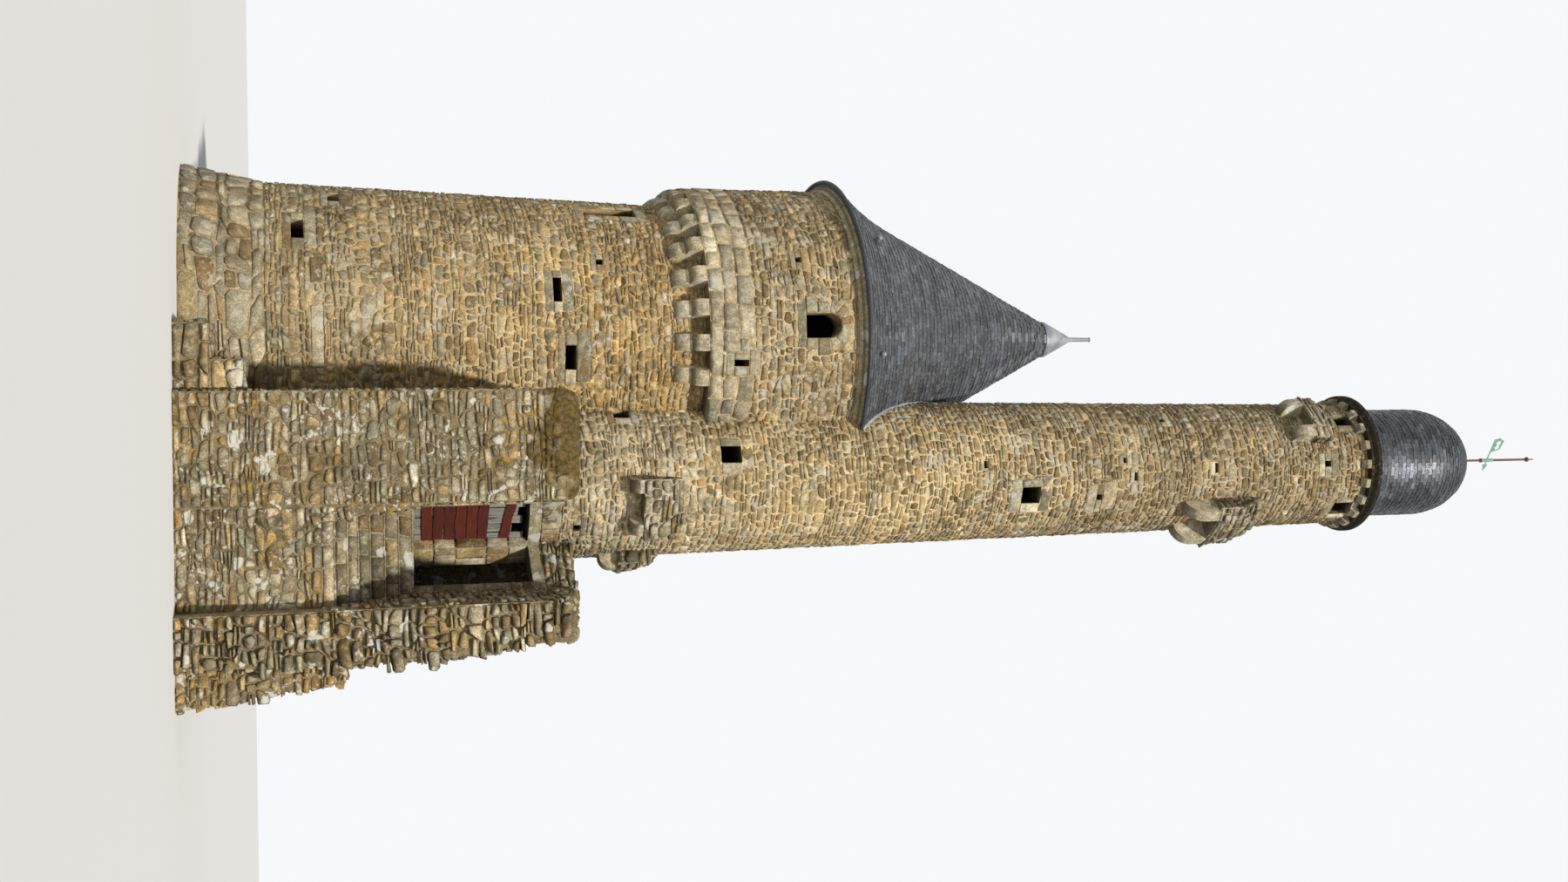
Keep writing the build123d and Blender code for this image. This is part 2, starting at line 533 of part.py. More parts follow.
def round_tower_walls():
    """Plinth, walls, floors and corbelled upper storey of the round tower."""
    centre = Pos(ROUND_X, ROUND_Y, 0)
    bore = ROUND_BORE_RADIUS
    plinth = ring([(0, 0), (PLINTH_RADIUS, 0), (PLINTH_SPREAD_RADIUS, PLINTH_SPREAD_HEIGHT),
                   (ROUND_FOOT_RADIUS, PLINTH_TOP), (0, PLINTH_TOP)], 0, 360)
    low = ring([(bore, PLINTH_TOP), (ROUND_FOOT_RADIUS, PLINTH_TOP),
                (round_radius(FIRST_FLOOR), FIRST_FLOOR), (bore, FIRST_FLOOR)], -120, 60)
    low_back = ring([(bore, PLINTH_TOP), (ROUND_FOOT_RADIUS, PLINTH_TOP),
                     (round_radius(FIRST_FLOOR), FIRST_FLOOR), (bore, FIRST_FLOOR)], 60, 240)
    neck = [(bore, FIRST_FLOOR), (round_radius(FIRST_FLOOR), FIRST_FLOOR),
            (ROUND_NECK_RADIUS, CORBEL_BOTTOM), (ROUND_NECK_RADIUS, GALLERY_UNDERSIDE),
            (bore, GALLERY_UNDERSIDE)]
    course_top = GALLERY_FLOOR + GALLERY_ASHLAR_HEIGHT
    ashlar = gallery_ring(GALLERY_FLOOR, course_top, -120, 60)
    ashlar = cut_windows(ashlar, GALLERY_WINDOWS, GALLERY_FLOOR,
                         lambda height: GALLERY_RADIUS, GALLERY_BORE_RADIUS)
    upper = gallery_ring(course_top, GALLERY_WALL_TOP, -120, 60)
    upper = cut_windows(upper, GALLERY_WINDOWS, GALLERY_FLOOR,
                        lambda height: GALLERY_RADIUS, GALLERY_BORE_RADIUS)
    upper -= arched_window_cutter()
    rim = GALLERY_RADIUS + ROUND_CORNICE_REACH
    cavetto_top = GALLERY_WALL_TOP + ROUND_CORNICE_CAVETTO
    cornice = ring([(GALLERY_BORE_RADIUS, GALLERY_WALL_TOP),
                    (GALLERY_RADIUS + ROUND_CORNICE_REACH * 0.2, GALLERY_WALL_TOP),
                    (GALLERY_RADIUS + ROUND_CORNICE_REACH * 0.5, cavetto_top),
                    (rim, cavetto_top + ROUND_CORNICE_STEP), (rim, EAVES),
                    (GALLERY_BORE_RADIUS, EAVES)], 0, 360)
    first_floor = Pos(0, 0, FIRST_FLOOR - FIRST_FLOOR_THICKNESS / 2)
    first_floor *= Cylinder(bore - JOINT, FIRST_FLOOR_THICKNESS)
    slab = Pos(0, 0, GALLERY_UNDERSIDE + GALLERY_SLAB / 2) * Cylinder(GALLERY_RADIUS, GALLERY_SLAB)
    pieces = {
        "round_tower_plinth": plinth,
        "round_tower_wall_low": cut_windows(low, ROUND_LOOPS, PLINTH_TOP, round_radius, bore),
        "round_tower_wall_low_back": low_back,
        "round_tower_first_floor": first_floor,
        "round_tower_wall_middle": cut_windows(ring(neck, -120, 60), ROUND_WINDOWS, FIRST_FLOOR,
                                               round_radius, bore),
        "round_tower_wall_middle_back": ring(neck, 60, 240),
        "gallery_slab": slab,
        "gallery_wall_ashlar": ashlar,
        "gallery_wall_upper": upper,
        "gallery_wall_back": gallery_ring(GALLERY_FLOOR, GALLERY_WALL_TOP, 60, 240),
        "round_tower_cornice": cornice,
    }
    tall = watch_body(0, WATCH_HEAD)
    return {name: centre * piece - tall for name, piece in pieces.items()}


def gallery_ring(bottom, top, start, end):
    """Length of the upper storey's wall between two heights and two bearings."""
    return ring([(GALLERY_BORE_RADIUS, bottom), (GALLERY_RADIUS, bottom),
                 (GALLERY_RADIUS, top), (GALLERY_BORE_RADIUS, top)], start, end)


def arched_window_cutter():
    """Cutter of the round-headed window of the upper storey."""
    bearing, above_floor, width, height = ARCHED_WINDOW
    sill = GALLERY_FLOOR + above_floor
    half = width / 2
    spring = sill + height - half
    depth = GALLERY_RADIUS - GALLERY_BORE_RADIUS + 2 * BEYOND
    outline = make_face([Polyline((-half, 0, spring), (-half, 0, sill), (half, 0, sill), (half, 0, spring)),
                         ThreePointArc((half, 0, spring), (0, 0, spring + half), (-half, 0, spring))])
    shaft = extrude(outline, amount=depth, dir=(0, 1, 0))
    return turned(Pos(0, -GALLERY_RADIUS - BEYOND, 0) * shaft, bearing)


def corbels():
    """Two-tier corbels with rounded noses that carry the gallery of the round tower."""
    half = CORBEL_WIDTH / 2
    middle = (CORBEL_BOTTOM + GALLERY_UNDERSIDE) / 2
    seat = ROUND_NECK_RADIUS
    reach = GALLERY_RADIUS - CORBEL_SETBACK
    lower_reach = (ROUND_NECK_RADIUS + reach) / 2
    lower_nose = ThreePointArc((0, -lower_reach, middle - CORBEL_SHOULDER / 2),
                               (0, -lower_reach + CORBEL_LOW_CURVE, CORBEL_BOTTOM + CORBEL_LOW_CURVE),
                               (0, -lower_reach + CORBEL_LOW_NOSE, CORBEL_BOTTOM))
    upper_nose = ThreePointArc((0, -reach, GALLERY_UNDERSIDE - CORBEL_SHOULDER),
                               (0, -reach + CORBEL_HIGH_CURVE, middle + CORBEL_HIGH_RISE),
                               (0, -lower_reach, middle))
    side = make_face([
        Line((0, -seat, CORBEL_BOTTOM), (0, -seat, GALLERY_UNDERSIDE)),
        Line((0, -seat, GALLERY_UNDERSIDE), (0, -reach, GALLERY_UNDERSIDE)),
        Line((0, -reach, GALLERY_UNDERSIDE), (0, -reach, GALLERY_UNDERSIDE - CORBEL_SHOULDER)),
        upper_nose,
        Line((0, -lower_reach, middle), (0, -lower_reach, middle - CORBEL_SHOULDER / 2)),
        lower_nose,
        Line((0, -lower_reach + CORBEL_LOW_NOSE, CORBEL_BOTTOM), (0, -seat, CORBEL_BOTTOM)),
    ])
    corbel = Pos(-half, 0, 0) * extrude(side, amount=CORBEL_WIDTH, dir=(1, 0, 0))
    pitch = 360 / CORBEL_COUNT
    to_watch = degrees(atan2(-ROUND_X, ROUND_Y))
    hidden = degrees(asin(watch_radius(CORBEL_BOTTOM) / hypot(ROUND_X, ROUND_Y)))
    stones = []
    for index in range(CORBEL_COUNT):
        bearing = CORBEL_FIRST_BEARING + index * pitch
        away = abs((bearing - to_watch + 180) % 360 - 180)
        if away > hidden + pitch / 2:
            stones.append(turned(corbel, bearing, ROUND_X, ROUND_Y))
    return {"gallery_corbels": Compound(children=stones)}


def roof():
    """Bell-cast slated cone cut to the watch tower, with its lead cap and spike."""
    sprung = (ROOF_APEX - ROOF_SPRUNG_HEIGHT) * ROOF_SLOPE
    cap_bottom = ROOF_APEX - LEAD_CAP_HEIGHT
    cap_radius = LEAD_CAP_HEIGHT * ROOF_SLOPE
    skirt = TangentArc((sprung, 0, ROOF_SPRUNG_HEIGHT), (EAVES_RADIUS, 0, EAVES + EAVES_EDGE),
                       tangent=(ROOF_SLOPE, 0, -1))
    inner_apex = ROOF_APEX - ROOF_THICKNESS / sin(atan2(ROOF_SLOPE, 1))
    inner_foot = (inner_apex - EAVES) * ROOF_SLOPE
    outline = make_face([
        skirt,
        Polyline((EAVES_RADIUS, 0, EAVES + EAVES_EDGE), (EAVES_RADIUS, 0, EAVES), (inner_foot, 0, EAVES),
                 (0, 0, inner_apex), (0, 0, ROOF_APEX), (sprung, 0, ROOF_SPRUNG_HEIGHT)),
    ])
    centre = Pos(ROUND_X, ROUND_Y, 0)
    cone = centre * revolve(outline, Axis.Z, 360) - watch_body(EAVES - BEYOND, WATCH_HEAD)
    lip = cap_radius + LEAD_CAP_LIP
    spike_top = ROOF_APEX + SPIKE_HEIGHT
    cap = ring([(cap_radius, cap_bottom), (lip, cap_bottom), (lip, cap_bottom + LEAD_CAP_ROLL),
                (SPIKE_RADIUS + LEAD_CAP_NECK, ROOF_APEX - LEAD_CAP_NECK_DROP), (SPIKE_RADIUS, ROOF_APEX),
                (SPIKE_RADIUS * 0.8, spike_top - 2 * SPIKE_KNOB),
                (SPIKE_RADIUS * 1.1, spike_top - SPIKE_KNOB), (0, spike_top), (0, ROOF_APEX)], 0, 360)
    return {"round_tower_roof": cone, "roof_lead_cap": centre * cap}


def box_remains(bearings, sizes):
    """Torn stump of a boxed machicolation: corbels under a bent block of masonry."""
    start, end, corbel_bearings = bearings
    bottom, corbel_height, height, reach = sizes
    seat = bottom + corbel_height
    top = seat + height
    inside = watch_radius(bottom)
    root = inside - CORBEL_SEAT
    stump = ring([(root, seat), (inside + reach, seat), (inside + reach * 0.9, seat + height / 2),
                  (inside + reach * 0.35, top), (root, top)], start, end)
    half = BOX_CORBEL_WIDTH / 2
    outer = inside + reach + BOX_CORBEL_NOSE
    chin = inside + reach * 0.25
    brow = seat - corbel_height * 0.4
    face = make_face([
        Polyline((-half, -root, bottom), (-half, -root, seat), (-half, -outer, seat),
                 (-half, -outer, brow)),
        ThreePointArc((-half, -outer, brow),
                      (-half, -outer + reach * 0.25, bottom + corbel_height * 0.2), (-half, -chin, bottom)),
        Line((-half, -chin, bottom), (-half, -root, bottom)),
    ])
    corbel = extrude(face, amount=BOX_CORBEL_WIDTH, dir=(1, 0, 0))
    for bearing in corbel_bearings:
        stump += turned(corbel, bearing)
    return stump - watch_body(bottom - BEYOND, top + BEYOND)


def box_machicolations():
    """The four stumps that the photograph shows on the watch tower."""
    return {f"box_remains_{name}": box_remains(bearings, BOX_SIZES[name])
            for name, bearings in BOX_BEARINGS.items()}


def door_leaf():
    """Boarded leaf with nailed planks, strap hinges with eyes, and the pins they turn on."""
    bottom = THRESHOLD + DOOR_SILL_HEIGHT + DOOR_FOOT_GAP
    top = DOOR_TOP - DOOR_HEAD_GAP
    half = DOOR_EMBRASURE_WIDTH / 2 - DOOR_LEAF_GAP
    face = -DOOR_SHOULDER + DOOR_LEAF_GAP
    plank_back = face + DOOR_PLANK
    board_back = plank_back + DOOR_BOARD
    pitch = 2 * half / DOOR_BOARD_COUNT
    boards = [block(-half + index * pitch + JOINT, -half + (index + 1) * pitch - JOINT,
                    plank_back + JOINT, board_back, bottom, top) for index in range(DOOR_BOARD_COUNT)]
    height = top - bottom
    panel = half - DOOR_PANEL_MARGIN
    loose = half - DOOR_PLANK_MARGIN
    planks = [
        block(-panel, panel, face, plank_back, bottom + 0.06 * height, bottom + 0.66 * height),
        Pos(0, 0, bottom + 0.83 * height) * Rot(0, DOOR_PLANK_TILT, 0)
        * block(-loose, loose, face, plank_back, -DOOR_PLANK_WIDTH / 2, DOOR_PLANK_WIDTH / 2),
    ]
    eye_bore = PIN_RADIUS + PIN_CLEARANCE
    eye_radius = eye_bore + STRAP_EYE_WALL
    pin_x, pin_y = door_pin_place()
    inner = board_back + JOINT
    straps = []
    pins = []
    for level in STRAP_HEIGHTS:
        low = bottom + level
        high = low + STRAP_EYE_HEIGHT
        centre = Pos(pin_x, pin_y, (low + high) / 2)
        strap = centre * Cylinder(eye_radius, STRAP_EYE_HEIGHT)
        strap += block(pin_x - eye_bore, pin_x + eye_bore, inner, pin_y, low, high)
        strap += block(pin_x - eye_bore, pin_x + STRAP_LENGTH, inner, inner + STRAP_THICKNESS, low, high)
        straps.append(strap - centre * Cylinder(eye_bore, 2 * STRAP_EYE_HEIGHT))
        foot = low - PIN_BELOW_EYE
        pin = Pos(pin_x, pin_y, foot + PIN_HEIGHT / 2) * Cylinder(PIN_RADIUS, PIN_HEIGHT)
        pin += block(-DOOR_EMBRASURE_WIDTH / 2, pin_x, pin_y - PIN_STEM / 2, pin_y + PIN_STEM / 2,
                     foot, foot + PIN_STEM)
        pins.append(pin)
    groups = {"door_boards": boards, "door_planks": planks, "door_straps": straps, "door_pins": pins}
    return {name: Compound(children=[turned(piece, DOOR_BEARING) for piece in pieces])
            for name, pieces in groups.items()}


def door_pin_place():
    """Place of the hinge pins, across the doorway and from the tower's axis, facing the front."""
    eye_radius = PIN_RADIUS + PIN_CLEARANCE + STRAP_EYE_WALL
    across = -DOOR_EMBRASURE_WIDTH / 2 + eye_radius + EYE_TO_WALL
    return across, -DOOR_SHOULDER + DOOR_LEAF_GAP + DOOR_PLANK + DOOR_BOARD + PIN_SETBACK


def stair_levels():
    """Heights of the tops of the steps, from the lowest to the landing."""
    levels = [STAIR_FOOT]
    for rise in STEP_RISES:
        levels.append(levels[-1] + rise)
    return levels


def stair_block():
    """Buttress, stair core, steps, landing, broken parapet and low footing."""
    tall = watch_body(0, WATCH_HEAD)
    squat = round_body(0, CORBEL_BOTTOM)
    back = -WATCH_FOOT_RADIUS * 0.25
    buttress = block(BUTTRESS_LEFT, BUTTRESS_RIGHT, FRONT_FACE, back, 0, BUTTRESS_TOP)
    upper_edges = buttress.edges().filter_by_position(Axis.Z, BUTTRESS_TOP - 1, BUTTRESS_TOP + 1)
    buttress = fillet(upper_edges, BUTTRESS_ROUNDING) - tall - squat
    levels = stair_levels()
    gate = gate_block(-2 * BEYOND, GATE_LENGTH + BEYOND, 0, 4 * GATE_THICKNESS, 0, CHAMBER_FLOOR)
    core = block(STAIR_LEFT, STAIR_RIGHT, FRONT_FACE, back, 0, STAIR_FOOT) - tall - gate
    steps = []
    for index, (low, high) in enumerate(zip(levels[:-2], levels[1:-1])):
        nose = FRONT_FACE + STEP_SETBACK + index * STEP_TREAD
        step = block(STAIR_LEFT, STAIR_RIGHT, nose, back, low + JOINT, high) - tall - gate
        steps.append(step)
    landing_nose = FRONT_FACE + STEP_SETBACK + (len(levels) - 2) * STEP_TREAD - LANDING_NOSING
    landing = block(STAIR_LEFT, STAIR_RIGHT, landing_nose, back, levels[-2] + JOINT, levels[-1])
    parapet_right = BUTTRESS_RIGHT + PARAPET_WIDTH
    parapet_outline = [(BUTTRESS_RIGHT, STAIR_FOOT), (parapet_right, STAIR_FOOT),
                       (parapet_right - PARAPET_NOTCH, STAIR_FOOT + PARAPET_NOTCH_HEIGHT),
                       (BUTTRESS_RIGHT + PARAPET_CREST_WIDTH, PARAPET_TOP - PARAPET_CREST_DROP),
                       (BUTTRESS_RIGHT, PARAPET_TOP)]
    face = make_face(Polyline(*[(x, FRONT_FACE, z) for x, z in parapet_outline], close=True))
    parapet = extrude(face, amount=PARAPET_LENGTH, dir=(0, 1, 0))
    steps = [step - parapet for step in steps]
    footing = block(FOOTING_LEFT, BUTTRESS_LEFT, FOOTING_FRONT, ROUND_Y, 0, FOOTING_LOW_TOP)
    footing += block(FOOTING_STEP, BUTTRESS_LEFT, FOOTING_FRONT, ROUND_Y, 0, FOOTING_HIGH_TOP)
    return {
        "stair_buttress": buttress,
        "stair_core": core,
        "stair_steps": Compound(children=steps),
        "stair_landing": landing - tall - gate,
        "stair_parapet": parapet,
        "footing_stub": footing - squat - tall,
    }


def gate_block(from_length, to_length, from_depth, to_depth, low, high):
    """Block set out along the slanting wall of the open doorway, from its outside face inwards."""
    piece = block(from_length, to_length, from_depth, to_depth, low, high)
    return Pos(GATE_START[0], GATE_START[1], 0) * Rot(0, 0, GATE_BEARING) * piece


def gate_and_chamber():
    """Slanting wall with the open doorway, and the low chamber behind it."""
    tall = watch_body(0, WATCH_HEAD)
    outer_right = CHAMBER_RIGHT + CHAMBER_WALL
    outer_back = CHAMBER_BACK + CHAMBER_WALL
    left_of_flank = block(0, STAIR_RIGHT, FLANK_FRONT, CHAMBER_BACK, 0, FLANK_TOP)
    top = DOOR_TOP
    jambs = []
    for start, end in ((-BEYOND, GATE_OPENING_FROM), (GATE_OPENING_TO, GATE_LENGTH + BEYOND)):
        jamb = gate_block(start, end, 0, GATE_THICKNESS, CHAMBER_FLOOR, top)
        jambs.append(jamb & left_of_flank)
    jambs[0] -= tall
    lintel = gate_block(GATE_OPENING_FROM - LINTEL_BEARING_LENGTH, GATE_LENGTH, 0, GATE_THICKNESS, top,
                        top + LINTEL_HEIGHT) & left_of_flank
    behind = gate_block(-2 * BEYOND, GATE_LENGTH + 4 * BEYOND, 0, 10 * GATE_THICKNESS, 0, CHAMBER_ROOF)
    return {
        "gate_jambs": Compound(children=jambs),
        "gate_lintel": lintel - tall,
        "chamber_base": (block(0, outer_right, FLANK_BACK, outer_back, 0, CHAMBER_FLOOR) & behind) - tall,
        "chamber_roof": (block(0, outer_right, FLANK_BACK, outer_back, CHAMBER_CEILING, CHAMBER_ROOF)
                         & behind) - tall,
        "chamber_back_wall": block(0, outer_right, CHAMBER_BACK, outer_back, CHAMBER_FLOOR,
                                   CHAMBER_CEILING) - tall,
        "chamber_right_wall": block(CHAMBER_RIGHT, outer_right, FLANK_BACK, CHAMBER_BACK,
                                    CHAMBER_FLOOR, CHAMBER_CEILING),
    }


def flanking_wall():
    """Torn wall beside the stair, narrower and leaning back towards its top, and its low return."""
    outline = [(STAIR_RIGHT, 0), (STAIR_RIGHT + FLANK_FOOT_WIDTH, 0)]
    outline += [(STAIR_RIGHT + width * FLANK_FOOT_WIDTH, share * FLANK_TOP)
                for share, width in FLANK_WIDTHS]
    outline += [(STAIR_RIGHT, FLANK_TOP)]
    face = make_face(Polyline(*[(x, FLANK_FRONT, z) for x, z in outline], close=True))
    wall = extrude(face, amount=FLANK_BACK - FLANK_FRONT, dir=(0, 1, 0))
    front = make_face(Polyline((0, FLANK_FRONT - BEYOND, 0), (0, FLANK_FRONT, 0),
                               (0, FLANK_FRONT + FLANK_LEAN, FLANK_TOP),
                               (0, FLANK_FRONT - BEYOND, FLANK_TOP), close=True))
    wall -= extrude(front, amount=STAIR_RIGHT + RETURN_FOOT_WIDTH, dir=(1, 0, 0))
    crest_start = FLANK_FRONT + FLANK_LEAN + FLANK_CREST_SETBACK
    crest = make_face(Polyline((STAIR_RIGHT, crest_start, FLANK_TOP), (STAIR_RIGHT, FLANK_BACK, FLANK_TOP),
                               (STAIR_RIGHT, FLANK_BACK, FLANK_TOP + FLANK_CREST_RISE), close=True))
    wall += extrude(crest, amount=FLANK_WIDTHS[-1][1] * FLANK_FOOT_WIDTH, dir=(1, 0, 0))
    torn = [(STAIR_RIGHT + RETURN_LAP, 0), (STAIR_RIGHT + RETURN_FOOT_WIDTH, 0)]
    torn += [(STAIR_RIGHT + width * RETURN_FOOT_WIDTH, share * RETURN_TOP)
             for share, width in RETURN_WIDTHS]
    torn += [(STAIR_RIGHT + RETURN_LAP, RETURN_TOP)]
    side = make_face(Polyline(*[(x, RETURN_FRONT, z) for x, z in torn], close=True))
    low_return = extrude(side, amount=RETURN_THICKNESS, dir=(0, 1, 0))
    return {"flank_wall": wall, "return_wall": low_return - wall}


def main():
    """Builds every piece and writes one file a node."""
    os.makedirs(PARTS, exist_ok=True)
    nodes = {}
    for make in (watch_tower, watch_head, finial_and_vane, round_tower_walls, corbels, roof,
                 box_machicolations, door_leaf, stair_block, gate_and_chamber, flanking_wall):
        nodes.update(make())
    for name, shape in nodes.items():
        export_step(shape, f"{PARTS}/{name}.step")
    print(len(nodes), "nodes written")


if __name__ == "__main__":
    main()
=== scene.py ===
"""Dresses the medieval tower: separate stones on every wall, slates on the cone and the dome,
dressed blocks round the openings, boards, lead and copper.

Every shape is worked out with numpy on a wall sheet.  A wall sheet turns two lengths along the wall
and one out of it, (across, up, proud), into a point in space, so one stone maker serves the round
towers and the flat walls alike.  All lengths are in metres in the frame's own axes.
"""
import json
import math
from collections import namedtuple

import bpy
import numpy as np
from mathutils import Matrix, Vector

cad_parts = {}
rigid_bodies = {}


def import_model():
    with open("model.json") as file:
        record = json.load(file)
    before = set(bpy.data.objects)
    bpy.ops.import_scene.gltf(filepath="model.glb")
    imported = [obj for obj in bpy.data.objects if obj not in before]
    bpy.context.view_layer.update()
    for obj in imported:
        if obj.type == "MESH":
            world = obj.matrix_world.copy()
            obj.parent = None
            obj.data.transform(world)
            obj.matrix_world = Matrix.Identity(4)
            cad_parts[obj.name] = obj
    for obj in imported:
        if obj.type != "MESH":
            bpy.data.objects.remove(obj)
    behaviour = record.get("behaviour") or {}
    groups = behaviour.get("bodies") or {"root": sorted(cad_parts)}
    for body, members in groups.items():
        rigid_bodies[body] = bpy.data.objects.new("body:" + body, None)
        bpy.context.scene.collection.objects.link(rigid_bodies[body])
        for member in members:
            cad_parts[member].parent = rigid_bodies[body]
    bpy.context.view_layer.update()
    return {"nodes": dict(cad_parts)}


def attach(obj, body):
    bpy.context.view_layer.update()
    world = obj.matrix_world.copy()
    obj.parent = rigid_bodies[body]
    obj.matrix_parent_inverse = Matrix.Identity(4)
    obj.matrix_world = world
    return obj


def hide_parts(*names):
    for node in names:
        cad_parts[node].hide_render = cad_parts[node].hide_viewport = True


bl_info = {
    "name": "Medieval tower masonry",
    "version": (1, 0, 0),
    "blender": (4, 5, 0),
    "location": "View3D > Sidebar > Tower",
    "description": "Lays stones, slates and fittings on the packed medieval tower",
    "category": "Object",
}

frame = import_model()

MASONRY = "masonry"
DOOR = "door_leaf"
EAST, WEST, NORTH, SOUTH, UP = (1, 0, 0), (-1, 0, 0), (0, 1, 0), (0, -1, 0), (0, 0, 1)

# Both towers as the frame has them
WATCH_AXIS = (0.0, 0.0)
WATCH_FOOT_RADIUS = 1.42
WATCH_HEAD_RADIUS = 1.13
WATCH_HEAD = 21.3
WATCH_STAGES = (9.7, 15.5)
ROUND_CENTRE = (-2.49, 1.33)
PLINTH_TOP = 1.3
PLINTH_PROFILE = ((0.0, 2.87), (0.35, 2.77), (1.3, 2.6))
ROUND_FOOT_RADIUS = 2.6
ROUND_NECK_RADIUS = 2.37
ROUND_STAGE = 4.9
CORBEL_BOTTOM = 7.87
GALLERY_BOTTOM = 8.42
GALLERY_PALE_TOP = 9.2
GALLERY_TOP = 11.04
GALLERY_RADIUS = 2.69
EAVES = 11.18
EAVES_RADIUS = 2.88
ROOF_SPRUNG = 12.3
ROOF_APEX = 16.3
ROOF_SLOPE = 0.513
SLATED_TOP = 15.75
VALLEY_TOP = 13.4
ROOF_VENTS = (("roof_vent_left", -43.0, 11.74), ("roof_vent_right", 9.0, 11.48))
DOME_FOOT = 21.63
DOME_SHOULDER = 22.95
DOME_CROWN = 1.2
DOME_RADIUS = 1.03

# The stair block and the walls beside it
FRONT_FACE = -3.5
BUTTRESS_LEFT = -1.43
BUTTRESS_RIGHT = 0.24
BUTTRESS_TOP = 5.83
BUTTRESS_ROUNDING = 0.23
TURF_BACK = -0.9
STAIR_RIGHT = 1.72
THRESHOLD = 3.45
STEP_RISES = (0.19, 0.19, 0.17, 0.19, 0.23, 0.23, 0.23)
STAIR_FOOT = THRESHOLD - sum(STEP_RISES)
STEP_TREAD = 0.27
STEP_SETBACK = 0.06
LANDING_NOSING = 0.03
LANDING_DEPTH = 1.2
DOOR_BEARING = 31.0
DOOR_TOP = 5.37
BOARD_FOOT = 3.545
BOARD_TOPS = (5.33, 5.21, 5.30, 5.12, 5.27)
BOARD_HALF = 0.403
BOARD_DEPTHS = (-1.198, -1.163)
PLANK_DEPTHS = (-1.222, -1.2)
PLANK_LEVELS = (3.65, 4.73)
PLANK_HALF = 0.375
LOOSE_PLANK = (4.96, 5.12, *PLANK_DEPTHS, -0.385, 0.385, 8.0)
BOARD_GAP = 0.004
LINTEL_TOP = 5.57
FAN_TOP = 5.88
FAN_BEARINGS = (4.0, 58.0)
DOOR_HOLES = ((15.2, 46.8, 3.4, 5.4), (5.2, 56.8, DOOR_TOP, LINTEL_TOP))
GATE_START = (0.98, -0.90)
GATE_BEARING = -43.8
GATE_LENGTH = 1.027
GATE_LEFT = 0.105
GATE_THICKNESS = 0.43
GATE_JAMBS = (((-0.1, GATE_LEFT), (THRESHOLD, 3.85, 4.2, 4.7, 5.05, DOOR_TOP)),
              ((0.865, 1.03), (THRESHOLD, 3.8, 4.25, 4.6, 5.0, DOOR_TOP)))
REVEAL_ROWS = ((3.46, 3.85, 0.25), (3.85, 4.2, 0.16), (4.2, 4.7, 0.27), (4.7, 5.05, 0.17), (5.05, 5.36, 0.24))
CHAMBER_RIGHT = 2.58
CHAMBER_BACK = 1.03
CHAMBER_ROOF = 6.05
CHAMBER_CEILING = 5.5
FLANK_TOP = 5.6
FLANK_FRONT = -4.1
FLANK_LEAN = 0.3
FLANK_BACK = -1.65
FLANK_EDGE = ((0.0, 2.46), (2.3, 2.5), (3.86, 2.48), (4.7, 2.37), (5.15, 2.25), (5.6, 2.15))
FLANK_CREST = 6.0
FLANK_CREST_SETBACK = 0.3
PARAPET_EDGE = ((2.02, 0.48), (2.32, 0.42), (3.32, 0.31), (3.56, 0.24))
PARAPET_DEPTH = 0.42
PARAPET_RISE = 1.5
PARAPET_WIDTH = 0.24
RETURN_EDGE = ((0.0, 3.04), (0.9, 2.93), (1.5, 2.85), (2.32, 2.77))
RETURN_FRONT = -3.85
RETURN_BACK = -3.15
RETURN_TOP = 2.32
RETURN_LENGTH = 0.6
FOOTING_LEFT = -2.43
FOOTING_STEP = -1.90
FOOTING_FRONT = -3.25
FOOTING_LOW_TOP = 0.51
FOOTING_HIGH_TOP = 0.96

# Stones: points round each outline, the kinds by their settings, the radii that the sheets' lengths
# across are measured at, and the look of dressed blocks
STONE_SIDES = 8
STONE_KINDS = ("stone_grey", "stone_gold", "stone_brown", "stone_ochre", "stone_pale")
WATCH_REFERENCE = 1.28
ROUND_REFERENCE = 2.5
GALLERY_REFERENCE = 2.69
DRESSED = {"joint": 0.01, "bulge": 0.05, "lean": 0.1}

# Windows on the sheets: bearing, sill, width, height, then reach of jambs, lintel and sill
WATCH_WINDOWS = (
    (-56.0, 6.86, 0.23, 0.28, 0.14, 0.14, 0.12), (-17.5, 8.6, 0.29, 0.36, 0.17, 0.2, 0.17),
    (36.0, 6.1, 0.12, 0.12, 0.1, 0.1, 0.0), (20.7, 14.13, 0.31, 0.37, 0.18, 0.2, 0.22),
    (-6.1, 13.38, 0.13, 0.07, 0.0, 0.1, 0.08), (24.4, 15.62, 0.11, 0.11, 0.24, 0.26, 0.2),
    (6.7, 16.34, 0.15, 0.06, 0.0, 0.1, 0.1), (-7.6, 16.12, 0.1, 0.06, 0.0, 0.1, 0.1),
    (-47.3, 17.06, 0.09, 0.1, 0.1, 0.12, 0.1), (0.7, 18.0, 0.18, 0.07, 0.0, 0.1, 0.12),
    (-46.5, 20.8, 0.25, 0.37, 0.13, 0.0, 0.15), (48.6, 20.73, 0.34, 0.42, 0.14, 0.0, 0.14),
    (-1.1, 20.35, 0.11, 0.14, 0.2, 0.16, 0.14),
)
ROUND_WINDOWS = (
    (-62.0, 6.56, 0.36, 0.92, 0.15, 0.2, 0.15), (-15.8, 5.84, 0.42, 0.15, 0.16, 0.2, 0.14),
    (11.0, 6.02, 0.4, 0.19, 0.24, 0.25, 0.12), (-28.5, 6.6, 0.11, 0.12, 0.11, 0.12, 0.1),
    (-61.0, 2.3, 0.33, 0.19, 0.15, 0.2, 0.12), (-39.0, 1.7, 0.43, 0.2, 0.2, 0.2, 0.14),
)
GALLERY_WINDOWS = ((-26.8, 10.0, 0.11, 0.11, 0.12, 0.12, 0.1), (12.2, 8.84, 0.11, 0.26, 0.14, 0.2, 0.14))
